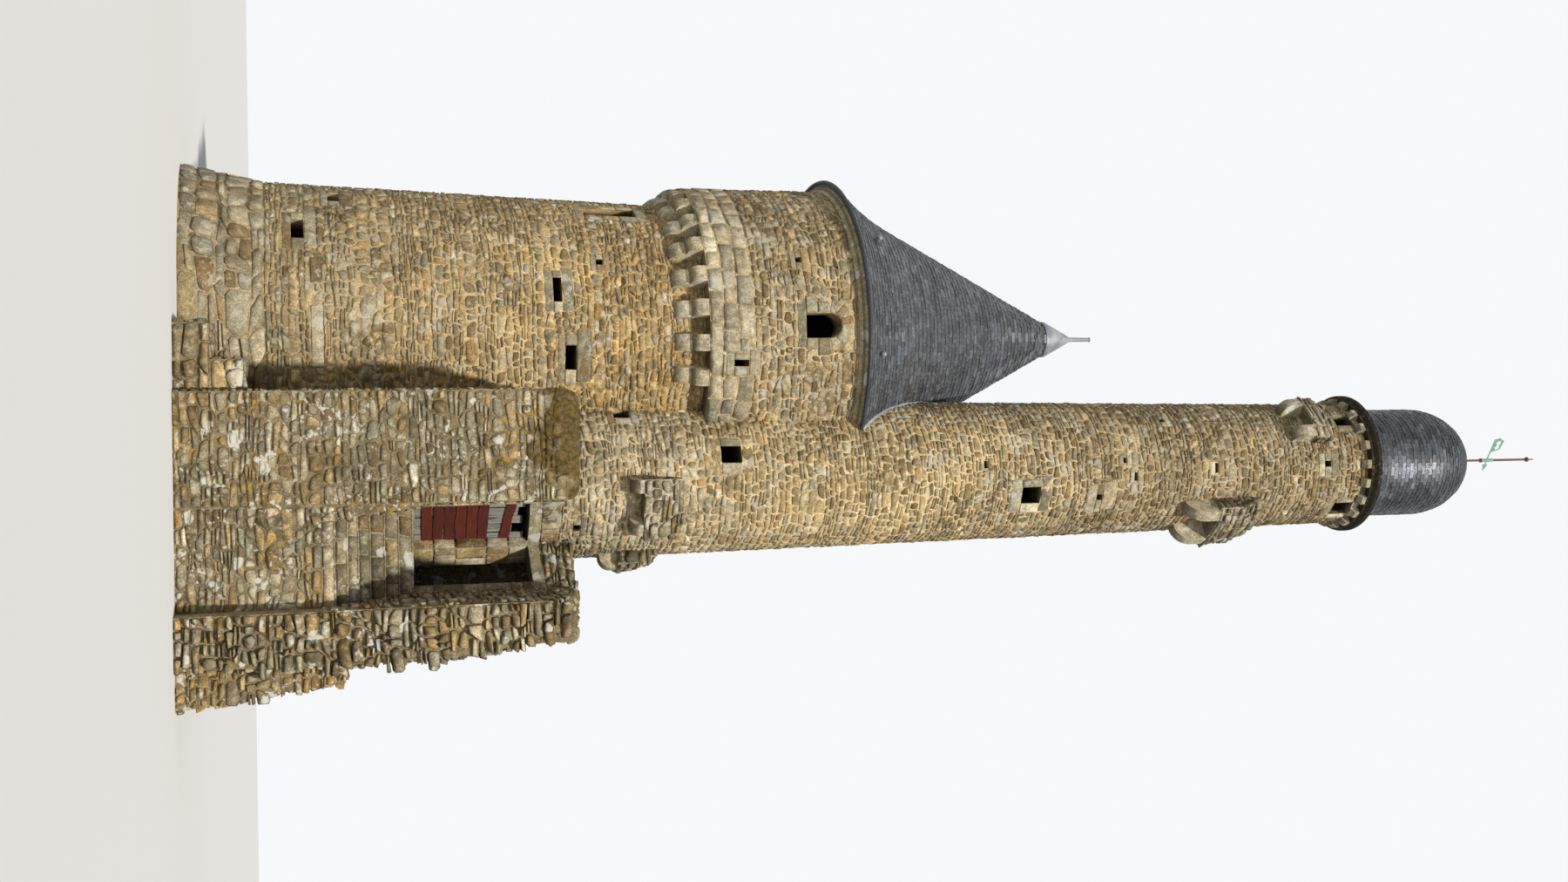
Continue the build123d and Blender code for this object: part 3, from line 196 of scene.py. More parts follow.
ARCHED_WINDOW = (-1.5, 10.1, 0.43, 0.64)

# Dressed blocks by bearings and heights: the door's jambs and the long stones of the round tower
DOOR_JAMBS = (
    (7.5, 15.4, THRESHOLD, 3.86), (9.0, 15.4, 3.86, 4.2), (6.5, 15.4, 4.2, 4.62), (9.5, 15.4, 4.62, 4.95),
    (7.0, 15.4, 4.95, DOOR_TOP), (46.6, 54.0, THRESHOLD, 3.9), (46.6, 52.5, 3.9, 4.35),
    (46.6, 54.0, 4.35, 4.8), (46.6, 52.5, 4.8, DOOR_TOP),
)
LONG_STONES = ((-52.0, -31.0, 1.9, 2.1), (-8.0, 14.0, 1.98, 2.18), (-26.0, -16.0, 1.98, 2.16),
               (3.0, 19.0, 6.21, 6.46))

# Torn boxes of the watch tower: start and end bearing, foot of the masonry, its height and reach; then
# how the reach falls with the height
BOXES = ((0.0, 38.0, 7.21, 0.72, 0.3), (66.0, 96.0, 6.94, 0.7, 0.24), (30.0, 76.0, 18.05, 1.0, 0.33),
         (-66.0, -22.0, 20.1, 0.55, 0.24))
BOX_PROFILE = ((0, 1), (0.5, 0.9), (1, 0.35))

# Light and camera of the photograph
SUN_LIGHT = 3.35
WORLD_LIGHT = 0.24
SUN_SIDE = 12.0
SUN_LIFT = 40.0
SUN_WIDTH = 2.5
CAMERA_PLACE = (-0.60, -29.5, 1.2)
CAMERA_PITCH = 16.75
CAMERA_ROLL = 0.0149
CAMERA_LENS = 39.9
FLOOR_HALF = 240


def linear(red, green, blue):
    """Display colour from 0 to 255 as a linear colour: each share to the power 2.2."""
    return tuple((part / 255.0) ** 2.2 for part in (red, green, blue))


def shade(colour, share=1.0):
    """A colour times a share, with its fourth value."""
    return tuple(part * share for part in tuple(colour)[:3]) + (1.0,)


def fresh(store, name, *kind):
    """A new block of data with this name, in place of one made before."""
    old = store.get(name)
    if old is not None:
        store.remove(old)
    return store.new(name, *kind)


def put(name, data):
    """An object with this name and data in the scene, in place of one made before."""
    made = fresh(bpy.data.objects, name, data)
    bpy.context.scene.collection.objects.link(made)
    return made


def make_piece(name, points, loops, starts, finish, tints=None, smooth=True, body=MASONRY,
               slot="rubble_stone", replaced=()):
    """A piece from whole arrays: points, corner indices and where each face starts.  It gets its finish
    and its body, and the nodes that it stands for are hidden.  The slot is not used."""
    mesh = bpy.data.meshes.new(name)
    made = put(name, mesh)
    points = np.asarray(points, np.float32).reshape(-1, 3)
    mesh.vertices.add(len(points))
    mesh.vertices.foreach_set("co", points.ravel())
    mesh.loops.add(len(loops))
    mesh.loops.foreach_set("vertex_index", np.asarray(loops, np.int32))
    mesh.polygons.add(len(starts))
    mesh.polygons.foreach_set("loop_start", np.asarray(starts, np.int32))
    mesh.polygons.foreach_set("use_smooth", np.full(len(starts), smooth))
    mesh.update(calc_edges=True)
    mesh.validate()
    if tints is not None:
        layer = mesh.attributes.new("tint", "FLOAT_COLOR", "POINT")
        layer.data.foreach_set("color", np.asarray(tints, np.float32).ravel())
    mesh.materials.append(bpy.data.materials[finish])
    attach(made, body)
    if replaced:
        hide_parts(*replaced)


def repeat_faces(faces, count, stride):
    """Loops and face starts of one small pattern of faces repeated on count blocks of points."""
    flat = np.concatenate([np.asarray(face) for face in faces])
    sizes = np.array([len(face) for face in faces])
    loops = (flat[None, :] + stride * np.arange(count)[:, None]).ravel()
    starts = np.concatenate([[0], np.cumsum(np.tile(sizes, count))[:-1]])
    return loops, starts


def round_sheet(centre, radius_at, reference, warp=0.0, seed=0):
    """Sheet of a round wall: a length across is a bearing times the reference radius, and the
    courses rise and fall by a sum of three sines of the bearing and the height."""
    phase = np.random.default_rng(seed).uniform(0, 2 * math.pi, 3)

    def place(s, t, p):
        bearing = s / reference
        wave = (np.sin(2 * bearing + phase[0]) + 0.6 * np.sin(5 * bearing + phase[1] + t)
                + 0.4 * np.sin(9 * bearing + phase[2] - 2 * t))
        height = t + warp * wave
        radius = radius_at(height) + p
        return np.stack([centre[0] + radius * np.sin(bearing), centre[1] - radius * np.cos(bearing),
                         height], axis=-1)
    return place


def flat_sheet(origin, across, up=UP, warp=0.0, seed=0):
    """Sheet of a flat wall from a corner, with unit directions across and up it."""
    origin, across, up = (np.array(v, float) for v in (origin, across, up))
    outward = np.cross(across, up)
    phase = np.random.default_rng(seed).uniform(0, 2 * math.pi, 2)

    def place(s, t, p):
        wave = np.sin(1.7 * s + phase[0]) + 0.5 * np.sin(4.1 * s + phase[1] + t)
        return (origin + s[..., None] * across + (t + warp * wave)[..., None] * up
                + p[..., None] * outward)
    return place


def edge_at(table, height):
    """Place of a torn edge at a height, between the rows of a table."""
    levels, places = zip(*table)
    return np.interp(height, levels, places)


def torn_side_sheet(table, front, lean=0.0, top=1.0):
    """Sheet of a torn end that faces +X: its x follows a table of heights, and its front leans back by a
    share of the height."""
    def place(s, t, p):
        return np.stack([edge_at(table, t) + p, front + lean * t / top + s, t], -1)
    return place


# Rubble stones on a wall sheet: the middle of each, and its outline as points about the middle
Rubble = namedtuple("Rubble", "s t x y")


def lay_rubble(rng, s_range, t_range, height, width, blocks=(), spread=0.28, split=0.16, wild=1.0):
    """Rubble in rough courses.  The line between two courses rises and falls as a sum of two sines, and
    the joint between two stones leans.  Some stones are split into two thin ones.  The corners of a stone
    that touches a block are held outside it, on the side where most of the stone is.  A low share of
    wild makes the stones squarer."""
    long = t_range[1] - t_range[0]
    count = max(1, round(long / height))
    tall = np.exp(rng.normal(0, spread, count))
    tall *= long / tall.sum()
    lines = t_range[0] + np.concatenate([[0], np.cumsum(tall)])
    sway = 0.2 * wild * np.minimum(np.r_[0, tall], np.r_[tall, 0])
    phase = rng.uniform(0, 6.28, (2, count + 1))

    def line(index, s):
        return lines[index] + sway[index] * (np.sin(1.15 * s / width + phase[0, index])
                                             + 0.7 * np.sin(2.7 * s / width + phase[1, index]))

    across = int((s_range[1] - s_range[0]) / width * 1.5) + 4
    widths = width * np.exp(rng.normal(0, spread + 0.08, (count, across)))
    edges = s_range[0] - rng.uniform(0, width, (count, 1)) + np.cumsum(widths, 1) - widths[:, :1]
    edges = np.where(edges < s_range[0] + 0.4 * width, s_range[0], edges)
    edges = np.where(edges > s_range[1] - 0.4 * width, s_range[1], edges)
    gaps = np.diff(edges, axis=1)
    room = np.minimum(np.pad(gaps, ((0, 0), (1, 0))), np.pad(gaps, ((0, 0), (0, 1))))
    lean = np.clip(rng.normal(0, 0.12 * wild, edges.shape) * width, -0.35 * room, 0.35 * room)
    foot, head = edges + lean, edges - lean
    s = np.stack([foot[:, :-1], foot[:, 1:], head[:, 1:], head[:, :-1]], -1)
    row = np.broadcast_to(np.arange(count)[:, None], gaps.shape)
    row = np.stack([row, row, row + 1, row + 1], -1)
    real = gaps > 0.01
    s, row = s[real], row[real]
    t = line(row, s)
    halved = rng.random(len(s)) < split
    level = rng.uniform(0.38, 0.62, (halved.sum(), 2))

    def split_thin(values):
        thin = values[halved]
        half = thin[:, [0, 1]] + level * (thin[:, [3, 2]] - thin[:, [0, 1]])
        return np.concatenate([values[~halved], np.stack([thin[:, 0], thin[:, 1], half[:, 1], half[:, 0]], 1),
                               np.stack([half[:, 0], half[:, 1], thin[:, 2], thin[:, 3]], 1)])

    s, t = split_thin(s), split_thin(t)
    for low_s, high_s, low_t, high_t in blocks:
        hit = (s.min(1) < high_s) & (s.max(1) > low_s) & (t.min(1) < high_t) & (t.max(1) > low_t)
        part = np.stack([low_s - s.min(1), s.max(1) - high_s, low_t - t.min(1), t.max(1) - high_t])
        part[:2] *= np.ptp(t, axis=1)
        part[2:] *= np.ptp(s, axis=1)
        side = np.where(hit, part.argmax(0), -1)[:, None]
        s = np.where(side == 0, np.minimum(s, low_s), np.where(side == 1, np.maximum(s, high_s), s))
        t = np.where(side == 2, np.minimum(t, low_t), np.where(side == 3, np.maximum(t, high_t), t))
    kept = (np.ptp(s, axis=1) > 0.035) & (np.ptp(t, axis=1) > 0.03)
    s, t = s[kept], t[kept]
    small = np.minimum(np.ptp(s, axis=1), np.ptp(t, axis=1))[:, None] / 2
    cut = small * rng.uniform(0.12, 0.12 + 0.48 * wild, s.shape)
    ends = []
    for step in (1, -1):
        to_s, to_t = np.roll(s, step, 1) - s, np.roll(t, step, 1) - t
        share = np.minimum(cut / np.maximum(np.hypot(to_s, to_t), 0.01), 0.45)
        ends.append((s + share * to_s, t + share * to_t))
    x, y = (np.stack([ends[0][axis], ends[1][axis]], 2).reshape(-1, STONE_SIDES) for axis in range(2))
    x = x + small * rng.normal(0, 0.06 * wild, x.shape)
    y = y + small * rng.normal(0, 0.06 * wild, y.shape)
    middle_s, middle_t = s.mean(1), t.mean(1)
    return Rubble(middle_s, middle_t, x - middle_s[:, None], y - middle_t[:, None])


def round_walls(rng, reference, levels, size, blocks):
    """Rubble all round a tower between two levels, clear of the blocks and openings.  The half that the
    front view does not show has larger stones."""
    height, width = size
    quarter = math.pi / 2 * reference
    front = lay_rubble(rng, (-quarter * 1.15, quarter * 1.15), levels, height, width, blocks)
    back = lay_rubble(rng, (quarter * 1.15, 2.85 * quarter), levels, height * 1.3, width * 1.35, blocks)
    return Rubble(*map(np.concatenate, zip(front, back)))


def block_outlines(rng, blocks, cut, rough):
    """Eight-sided outlines of dressed blocks: rectangles with cut corners and slightly uneven edges.  A
    long block has four corners and the middles of its edges instead, so that it bends with the wall."""
    low_s, high_s, low_t, high_t = np.array(blocks, float).reshape(-1, 4).T
    a = np.maximum((high_s - low_s) / 2, 0.015)
    b = np.maximum((high_t - low_t) / 2, 0.015)
    small = np.minimum(a, b)
    corner = cut * small * rng.uniform(0.6, 1.5, len(a))
    x = np.stack([a, a, a - corner, corner - a, -a, -a, corner - a, a - corner], 1)
    y = np.stack([corner - b, b - corner, b, b, b - corner, corner - b, -b, -b], 1)
    long = (a > 1.7 * b)[:, None]
    x = np.where(long, a[:, None] * np.array([1, 1, 0, -1, -1, -1, 0, 1]), x)
    y = np.where(long, b[:, None] * np.array([0, 1, 1, 1, 0, -1, -1, -1]), y)
    uneven = small[:, None] * rng.normal(0, rough, (2, *x.shape))
    return Rubble((low_s + high_s) / 2, (low_t + high_t) / 2, x + uneven[0], y + uneven[1])


def stone_faces(rings):
    """Faces of one stone: bands of quads between its rings, a fan of triangles on top and the back."""
    sides = STONE_SIDES
    faces = [(ring + i, ring + (i + 1) % sides, ring + sides + (i + 1) % sides, ring + sides + i)
             for ring in range(0, (rings - 1) * sides, sides) for i in range(sides)]
    top = (rings - 1) * sides
    faces += [(top + i, top + (i + 1) % sides, rings * sides) for i in range(sides)]
    faces.append(tuple(range(sides - 1, -1, -1)))
    return faces


def stone_bodies(rng, stones, joint, proud, rings, turn=None, bulge=0.2, lean=0.4, bevel=0.26):
    """Each stone as rings of its outline: one set into the wall, then for a dressed block one half proud,
    then one proud and drawn in by its bevel, and a crowned middle.  The face leans by a random share
    of how far it stands out.  Returns (across, up, proud) of each point."""
    count = len(stones.s)
    a = np.maximum(np.abs(stones.x).max(1), 0.012)
    b = np.maximum(np.abs(stones.y).max(1), 0.012)
    gap = joint / 2 * rng.uniform(0.7, 1.3, count)
    x = stones.x * np.maximum(1 - gap / a, 0.3)[:, None]
    y = stones.y * np.maximum(1 - gap / b, 0.3)[:, None]
    small = np.minimum(a, b)
    reach = proud * rng.uniform(0.5, 1.5, count)
    inset = np.minimum(0.028, bevel * small)
    tilt = rng.uniform(-lean, lean, (2, count, 1)) * reach[:, None]
    slope = tilt[0] * x / a[:, None] + tilt[1] * y / b[:, None]
    top = 0.9 * reach[:, None] + slope + small[:, None] * rng.normal(0, 0.03, x.shape)
    layers = [(x, y, np.full_like(x, -0.02)), (x, y, 0.45 * reach[:, None] + 0.4 * slope),
              (x * (1 - (inset / a)[:, None]), y * (1 - (inset / b)[:, None]), top)]
    if rings == 2:
        del layers[1]
    crown = reach * (1 + bulge * rng.uniform(-0.2, 1, count))
    middles = (rng.normal(0, 0.15, (count, 1)) * a[:, None], rng.normal(0, 0.15, (count, 1)) * b[:, None],
               crown[:, None])
    across, up, out = (np.concatenate([layer[axis] for layer in layers] + [middles[axis]], 1)
                       for axis in range(3))
    if turn is not None:
        c, s = np.cos(turn)[:, None], np.sin(turn)[:, None]
        across, up = c * across - s * up, s * across + c * up
    return stones.s[:, None] + across, stones.t[:, None] + up, out


def choose_tints(rng, shares, colours):
    """A colour for each stone: one kind by its shares, times a random brightness, with a small random
    warmth.  The fourth value is a random number that the material uses."""
    count = len(shares)
    total = np.cumsum(shares, 1)
    pick = (rng.random((count, 1)) * total[:, -1:] > total).sum(1)
    colour = np.asarray(colours)[np.minimum(pick, len(colours) - 1)]
    light = np.exp(rng.normal(0, 0.2, (count, 1)))
    warm = 1 + rng.normal(0, 0.035, (count, 1)) * np.array([[1.0, 0.0, -1.0]])
    return np.concatenate([np.clip(colour * light * warm, 0, 1), rng.random((count, 1))], 1)


class Piece:
    """Gathers stones from one or more wall sheets into one mesh."""

    def __init__(self, name, seed, settings):
        self.name = name
        self.rng = np.random.default_rng(seed)
        self.colours = [tuple(getattr(settings, kind))[:3] for kind in STONE_KINDS]
        self.mortar = np.array(tuple(settings.mortar_colour)[:3])
        self.points, self.tints, self.loops, self.starts = [], [], [], []
        self.point_count = self.loop_count = 0

    def add(self, place, stones, shares, joint=0.02, proud=0.014, drop=None, rim=-0.35, cut=0.12, rough=0.03,
            **shape):
        """Adds rubble or dressed blocks, given as rectangles, on one sheet.  shares gives the part that
        each kind of stone takes, and may be a function of the stones' middles.  drop says which middles
        lie inside another wall.  rim is how far the colour of a stone's foot goes towards the mortar,
        or towards black below 0, and may be a function of the middles too."""
        dressed = not isinstance(stones, Rubble)
        if dressed:
            stones = block_outlines(self.rng, stones, cut, rough)
        if len(stones.s) == 0:
            return
        rings = 3 if dressed else 2
        points = place(*stone_bodies(self.rng, stones, joint, proud, rings, **shape))
        if drop is not None:
            points = points[~drop(points[:, -1, :])]
        middles = points[:, -1, :]
        part = shares(middles) if callable(shares) else np.broadcast_to(shares, (len(middles), 5))
        tints = np.repeat(choose_tints(self.rng, part, self.colours)[:, None, :], points.shape[1], 1)
        edge = np.reshape(rim(middles) if callable(rim) else rim, (-1, 1, 1))
        feet = tints[:, :STONE_SIDES, :3]
        feet += abs(edge) * (np.where(edge > 0, self.mortar, 0.0) - feet)
        loops, starts = repeat_faces(stone_faces(rings), len(points), points.shape[1])
        self.points.append(points.reshape(-1, 3))
        self.tints.append(tints.reshape(-1, 4))
        self.loops.append(loops + self.point_count)
        self.starts.append(starts + self.loop_count)
        self.point_count += len(self.points[-1])
        self.loop_count += len(loops)

    def lay(self, place, s_range, t_range, size, shares, blocks=(), laying=None, joint=0.014, proud=0.03,
            **options):
        """Lays rubble of a course height and a stone width on a part of a sheet, and adds it."""
        stones = lay_rubble(self.rng, s_range, t_range, *size, blocks, **(laying or {}))
        self.add(place, stones, shares, joint=joint, proud=proud, **options)

    def lay_walls(self, walls, warp, seed, size, shares, **options):
        """Lays flat walls, each given as a corner, directions across and up, a length and two levels."""
        for index, (origin, across, up, length, levels) in enumerate(walls):
            place = flat_sheet(origin, across, up, warp, seed + index)
            self.lay(place, (0.0, length), levels, size, shares, **options)

    def make(self, finish, **options):
        """One mesh of all the stones gathered."""
        points, loops, starts, tints = map(np.concatenate, (self.points, self.loops, self.starts, self.tints))
        make_piece(self.name, points, loops, starts, finish, tints, **options)


def watch_radius(height):
    """Outside radius of the watch tower at a height: a straight taper."""
    return WATCH_FOOT_RADIUS - (WATCH_FOOT_RADIUS - WATCH_HEAD_RADIUS) * height / WATCH_HEAD


def round_radius(height):
    """Outside radius of the round tower: plinth, tapered wall, upright neck, then the upper storey."""
    share = np.clip((height - PLINTH_TOP) / (CORBEL_BOTTOM - PLINTH_TOP), 0, 1)
    wall = ROUND_FOOT_RADIUS + (ROUND_NECK_RADIUS - ROUND_FOOT_RADIUS) * share
    wall = np.where(height < PLINTH_TOP, edge_at(PLINTH_PROFILE, height), wall)
    return np.where(height > GALLERY_BOTTOM, GALLERY_RADIUS, wall)


def roof_radius(height):
    """Radius of the slated cone: straight above the spring, and below it the circular arc that leaves
    the cone smoothly and passes through the eaves."""
    spring = (ROOF_APEX - ROOF_SPRUNG) * ROOF_SLOPE
    chord = np.array([EAVES_RADIUS - spring, EAVES + 0.03 - ROOF_SPRUNG])
    side = np.array([1.0, ROOF_SLOPE]) / math.hypot(1.0, ROOF_SLOPE)
    bend = chord @ chord / (2 * chord @ side)
    centre_r, centre_z = spring + side[0] * bend, ROOF_SPRUNG + side[1] * bend
    curve = centre_r - np.sqrt(np.maximum(bend ** 2 - (centre_z - height) ** 2, 0))
    return np.where(height < ROOF_SPRUNG, curve, (ROOF_APEX - height) * ROOF_SLOPE)


def inside_watch(points, margin=0.02):
    """True for points inside the watch tower."""
    height = points[..., 2]
    away = np.hypot(points[..., 0], points[..., 1])
    return (away < watch_radius(height) - margin) & (height < WATCH_HEAD)


def inside_round(points, margin=0.02):
    """True for points inside the round tower or its roof."""
    height = points[..., 2]
    away = np.hypot(points[..., 0] - ROUND_CENTRE[0], points[..., 1] - ROUND_CENTRE[1])
    radius = np.where(height > EAVES, roof_radius(height), round_radius(height))
    return (away < radius - margin) & (height < ROOF_APEX)


def inside_box(points, x_range, y_range, top):
    """True for points inside an upright block that stands on the ground."""
    x, y, z = points[..., 0], points[..., 1], points[..., 2]
    return (x > x_range[0]) & (x < x_range[1]) & (y > y_range[0]) & (y < y_range[1]) & (z < top)


def behind_gate(points):
    """How far points lie behind the outside face of the slanting wall with the open doorway."""
    turn = math.radians(GATE_BEARING)
    return ((GATE_START[0] - points[..., 0]) * math.sin(turn)
            + (points[..., 1] - GATE_START[1]) * math.cos(turn))


def stair_height(points):
    """Height of the top of the stair under points, from the number of treads behind the front."""
    tops = np.concatenate([[STAIR_FOOT], STAIR_FOOT + np.cumsum(STEP_RISES)])
    tread = np.floor((points[..., 1] - FRONT_FACE - STEP_SETBACK) / STEP_TREAD) + 1
    return tops[np.clip(tread, 0, len(tops) - 1).astype(int)]


def inside_stair(points, margin=0.0):
    """True for points inside the stair."""
    return inside_box(points, (BUTTRESS_RIGHT, STAIR_RIGHT), (FRONT_FACE, 0.0), stair_height(points) - margin)


def inside_chamber(points):
    """True for points inside the block of the chamber."""
    return inside_box(points, (0.0, CHAMBER_RIGHT), (FLANK_BACK, CHAMBER_BACK), CHAMBER_ROOF)


def inside_blocks(points):
    """True for points inside the buttress, the stair, the chamber's walls or the flanking wall."""
    height, behind = points[..., 2], behind_gate(points)
    buttress = inside_box(points, (BUTTRESS_LEFT, BUTTRESS_RIGHT), (FRONT_FACE, 0.0), BUTTRESS_TOP - 0.05)
    flank = inside_box(points, (STAIR_RIGHT, FLANK_EDGE[-1][1]), (FLANK_FRONT + 0.3, FLANK_BACK), FLANK_TOP)
    room = (height > THRESHOLD) & (height < CHAMBER_CEILING) & (behind > GATE_THICKNESS + 0.02)
    return buttress | inside_stair(points) | (inside_chamber(points) & (behind > 0.01) & ~room) | flank


def rectangles(reference, blocks):
    """Blocks given as bearings in degrees and heights, as lengths on a round sheet."""
    return [(math.radians(a) * reference, math.radians(b) * reference, low, high)
            for a, b, low, high in blocks]


def surround(reference, radius, window):
    """Dressed blocks round a window and the window itself, as rectangles on a round sheet: a lintel, a
    sill and two jambs, each a rectangle beside the opening."""
    bearing, sill, width, height, jamb, head, foot = window
    middle = math.radians(bearing) * reference
    half = width / 2 * reference / radius
    left, right, top = middle - half, middle + half, sill + height
    blocks = []
    if head:
        blocks.append((left - jamb * 0.9 - 0.05, right + jamb * 0.7 + 0.05, top, top + head))
    if foot:
        blocks.append((left - jamb * 0.6 - 0.04, right + jamb * 0.8 + 0.04, sill - foot, sill))
    parts = 1 if height < 0.45 else round(height / 0.3)
    for index in range(parts if jamb else 0):
        low, high = (sill + height * step / parts for step in (index, index + 1))
        reach = jamb * (1.15 if index % 2 else 0.85)
        blocks += [(left - reach, left, low, high), (right, right + jamb * 2 - reach, low, high)]
    return blocks, (left, right, sill, top)


def surrounds(reference, radius_at, windows):
    """Dressed blocks round all the windows of a wall, and the windows themselves."""
    made = [surround(reference, radius_at(window[1]), window) for window in windows]
    return [block for blocks, hole in made for block in blocks], [hole for blocks, hole in made]


def by_height(levels, rows):
    """Shares of the kinds of stone that change with height, as a function of the stones' middles."""
    def shares(middles):
        height = middles[:, 2]
        return np.stack([np.interp(height, levels, column) for column in zip(*rows)], 1)
    return shares


# Shares of grey, golden, brown, ochre and pale stone
TOWER_LIGHT = by_height((0, 7.5, 9.0, 13.0, 15.0, 21.0),
                        ((.44, .06, .08, .02, .4), (.36, .12, .02, 0, .5), (.14, .64, .06, .06, .1),
                         (.12, .66, .16, .04, .02), (.26, .3, .4, .02, .02), (.24, .22, .48, .02, .04)))
ROUND_SHARES = by_height((0, 1.2, 1.5, 5.5, 7.0, 7.8),
                         ((.7, .06, .2, 0, .04), (.6, .12, .22, 0, .06), (.3, .44, .16, .04, .06),
                          (.26, .46, .16, .08, .04), (.14, .46, .08, .28, .04), (.08, .5, .04, .36, .02)))
GALLERY_SHARES = by_height((8.4, 9.1, 9.3, 11.0), ((.3, .02, .04, 0, .64), (.34, .04, .04, 0, .58),
                                                    (.36, .3, .26, .02, .06), (.4, .26, .28, .02, .04)))
DRESSED_SHARES = (0.5, 0.08, 0.12, 0.0, 0.3)
FAN_SHARES = (0.3, 0.3, 0.3, 0.05, 0.05)
STAIR_SHARES = (0.44, 0.16, 0.18, 0.02, 0.2)
STEP_SHARES = (0.5, 0.1, 0.22, 0.0, 0.18)
FLANK_SHARES = (0.5, 0.1, 0.16, 0.02, 0.22)
OCHRE_SHARES = (0.08, 0.4, 0.14, 0.38, 0.0)
GATE_SHARES = (0.4, 0.1, 0.1, 0, 0.4)
ABOVE_GATE_SHARES = (.5, .1, .04, 0, .36)
BOX_SHARES = (0.5, 0.04, 0.16, 0.0, 0.3)


def watch_shares(middles):
    """Shares on the watch tower: they change with height, and grey grows towards the left, partly the stones'
    own grey and partly painted shade on the side away from the light.
    """
    shares = TOWER_LIGHT(middles)
    bearing = np.degrees(np.arctan2(middles[:, 0], -middles[:, 1]))
    # Partly painted shade: the left side, away from the light, turns greyer.
    shares[:, 0] += np.clip((-25 - bearing) / 60, 0, 0.5)
    return shares


def pale_mortar_and_painted_shade(middles):
    """Pale mortar shows at the right of both towers' lower walls and halfway up the watch tower.  Elsewhere
    the stones' feet go dark: dark joints, and towards the left, away from the light, painted shade of the
    stones' own shadows.  The share follows smooth steps across and up."""
    x, z = middles[:, 0], middles[:, 2]
    on_round = np.hypot(x - ROUND_CENTRE[0], middles[:, 1] - ROUND_CENTRE[1]) < 3.0
    side = np.where(on_round, x + 2.9, x + np.where(z < 8.6, 1.3, 0.1))
    low, high = np.where(on_round, 1.3, 5.6), np.where(on_round, 8.6, 14.5)
    inside = np.clip((z - low) / 0.5, 0, 1) * np.clip((high - z) / 1.2, 0, 1)
    # Below 0 the feet go towards black: on the left, away from the light, this is painted shade.
    return -0.45 + 0.8 * inside * np.clip(side / 0.9 + 0.5, 0, 1)


def dress_tower(settings, tower, sheets, reference, bands, blocks, avoid, shares, other, proud, fan=()):
    """Bands of rubble up a tower.  Each is one piece, with the dressed blocks that start in it, and the
    lowest has the fan.  A band is its name, foot, top, seed, its stones' size and their relief."""
    place, plain = sheets
    drop = (lambda p: other(p) | inside_blocks(p))
    for name, low, high, seed, size, relief in bands:
        piece = Piece(f"{tower}_stones_{name}", seed, settings)
        stones = round_walls(piece.rng, reference, (low, high), size, avoid)
        piece.add(place, stones, shares, joint=settings.joint, proud=relief, drop=drop, rim=pale_mortar_and_painted_shade)
        if name == "low" and fan:
            piece.add(plain, fan, FAN_SHARES, joint=0.012, proud=0.02, cut=0.15, rough=0.04,
                      turn=np.linspace(0.22, -0.22, len(fan)))
        part = [block for block in blocks if low <= block[2] < high]
        piece.add(plain, part, DRESSED_SHARES, proud=proud, drop=drop, **DRESSED)
        piece.make("Tower rubble")


def make_watch_stones(settings):
    """Rubble on the watch tower, in three lengths, with its dressed blocks, the jambs of the door and
    the flat arch of standing stones over the lintel."""
    sheets = [round_sheet(WATCH_AXIS, watch_radius, WATCH_REFERENCE, warp, 3) for warp in (0.012, 0.0)]
    blocks, holes = surrounds(WATCH_REFERENCE, watch_radius, WATCH_WINDOWS)
    blocks += rectangles(WATCH_REFERENCE, DOOR_JAMBS)
    edges = np.linspace(*FAN_BEARINGS, 13)
    fan = rectangles(WATCH_REFERENCE, [(a, b, LINTEL_TOP, FAN_TOP) for a, b in zip(edges[:-1], edges[1:])])
    holes += rectangles(WATCH_REFERENCE, DOOR_HOLES)
    size = (settings.course_height, settings.stone_width)
    bands = [(*band, size, settings.proud) for band in (
        ("low", 2.2, WATCH_STAGES[0], 11), ("middle", *WATCH_STAGES, 12),
        ("upper", WATCH_STAGES[1], WATCH_HEAD, 13))]
    dress_tower(settings, "watch_tower", sheets, WATCH_REFERENCE, bands, blocks, holes + blocks + fan,
                watch_shares, inside_round, 0.016, fan)


def make_round_stones(settings):
    """Rubble on the round tower's plinth and wall, with larger blocks low down and dressed stones
    round its loops."""
    sheets = [round_sheet(ROUND_CENTRE, round_radius, ROUND_REFERENCE, warp, 5) for warp in (0.014, 0.0)]
    blocks, holes = surrounds(ROUND_REFERENCE, round_radius, ROUND_WINDOWS)
    blocks += rectangles(ROUND_REFERENCE, LONG_STONES)
    size = (settings.course_height * 1.06, settings.stone_width * 1.08)
    bands = (("plinth", 0.0, PLINTH_TOP, 21, (0.24, 0.42), 0.03),
             ("low", PLINTH_TOP, ROUND_STAGE, 22, size, settings.proud),
             ("high", ROUND_STAGE, GALLERY_BOTTOM, 23, size, settings.proud))
    dress_tower(settings, "round_tower", sheets, ROUND_REFERENCE, bands, blocks, holes + blocks,
                ROUND_SHARES, inside_watch, 0.018)


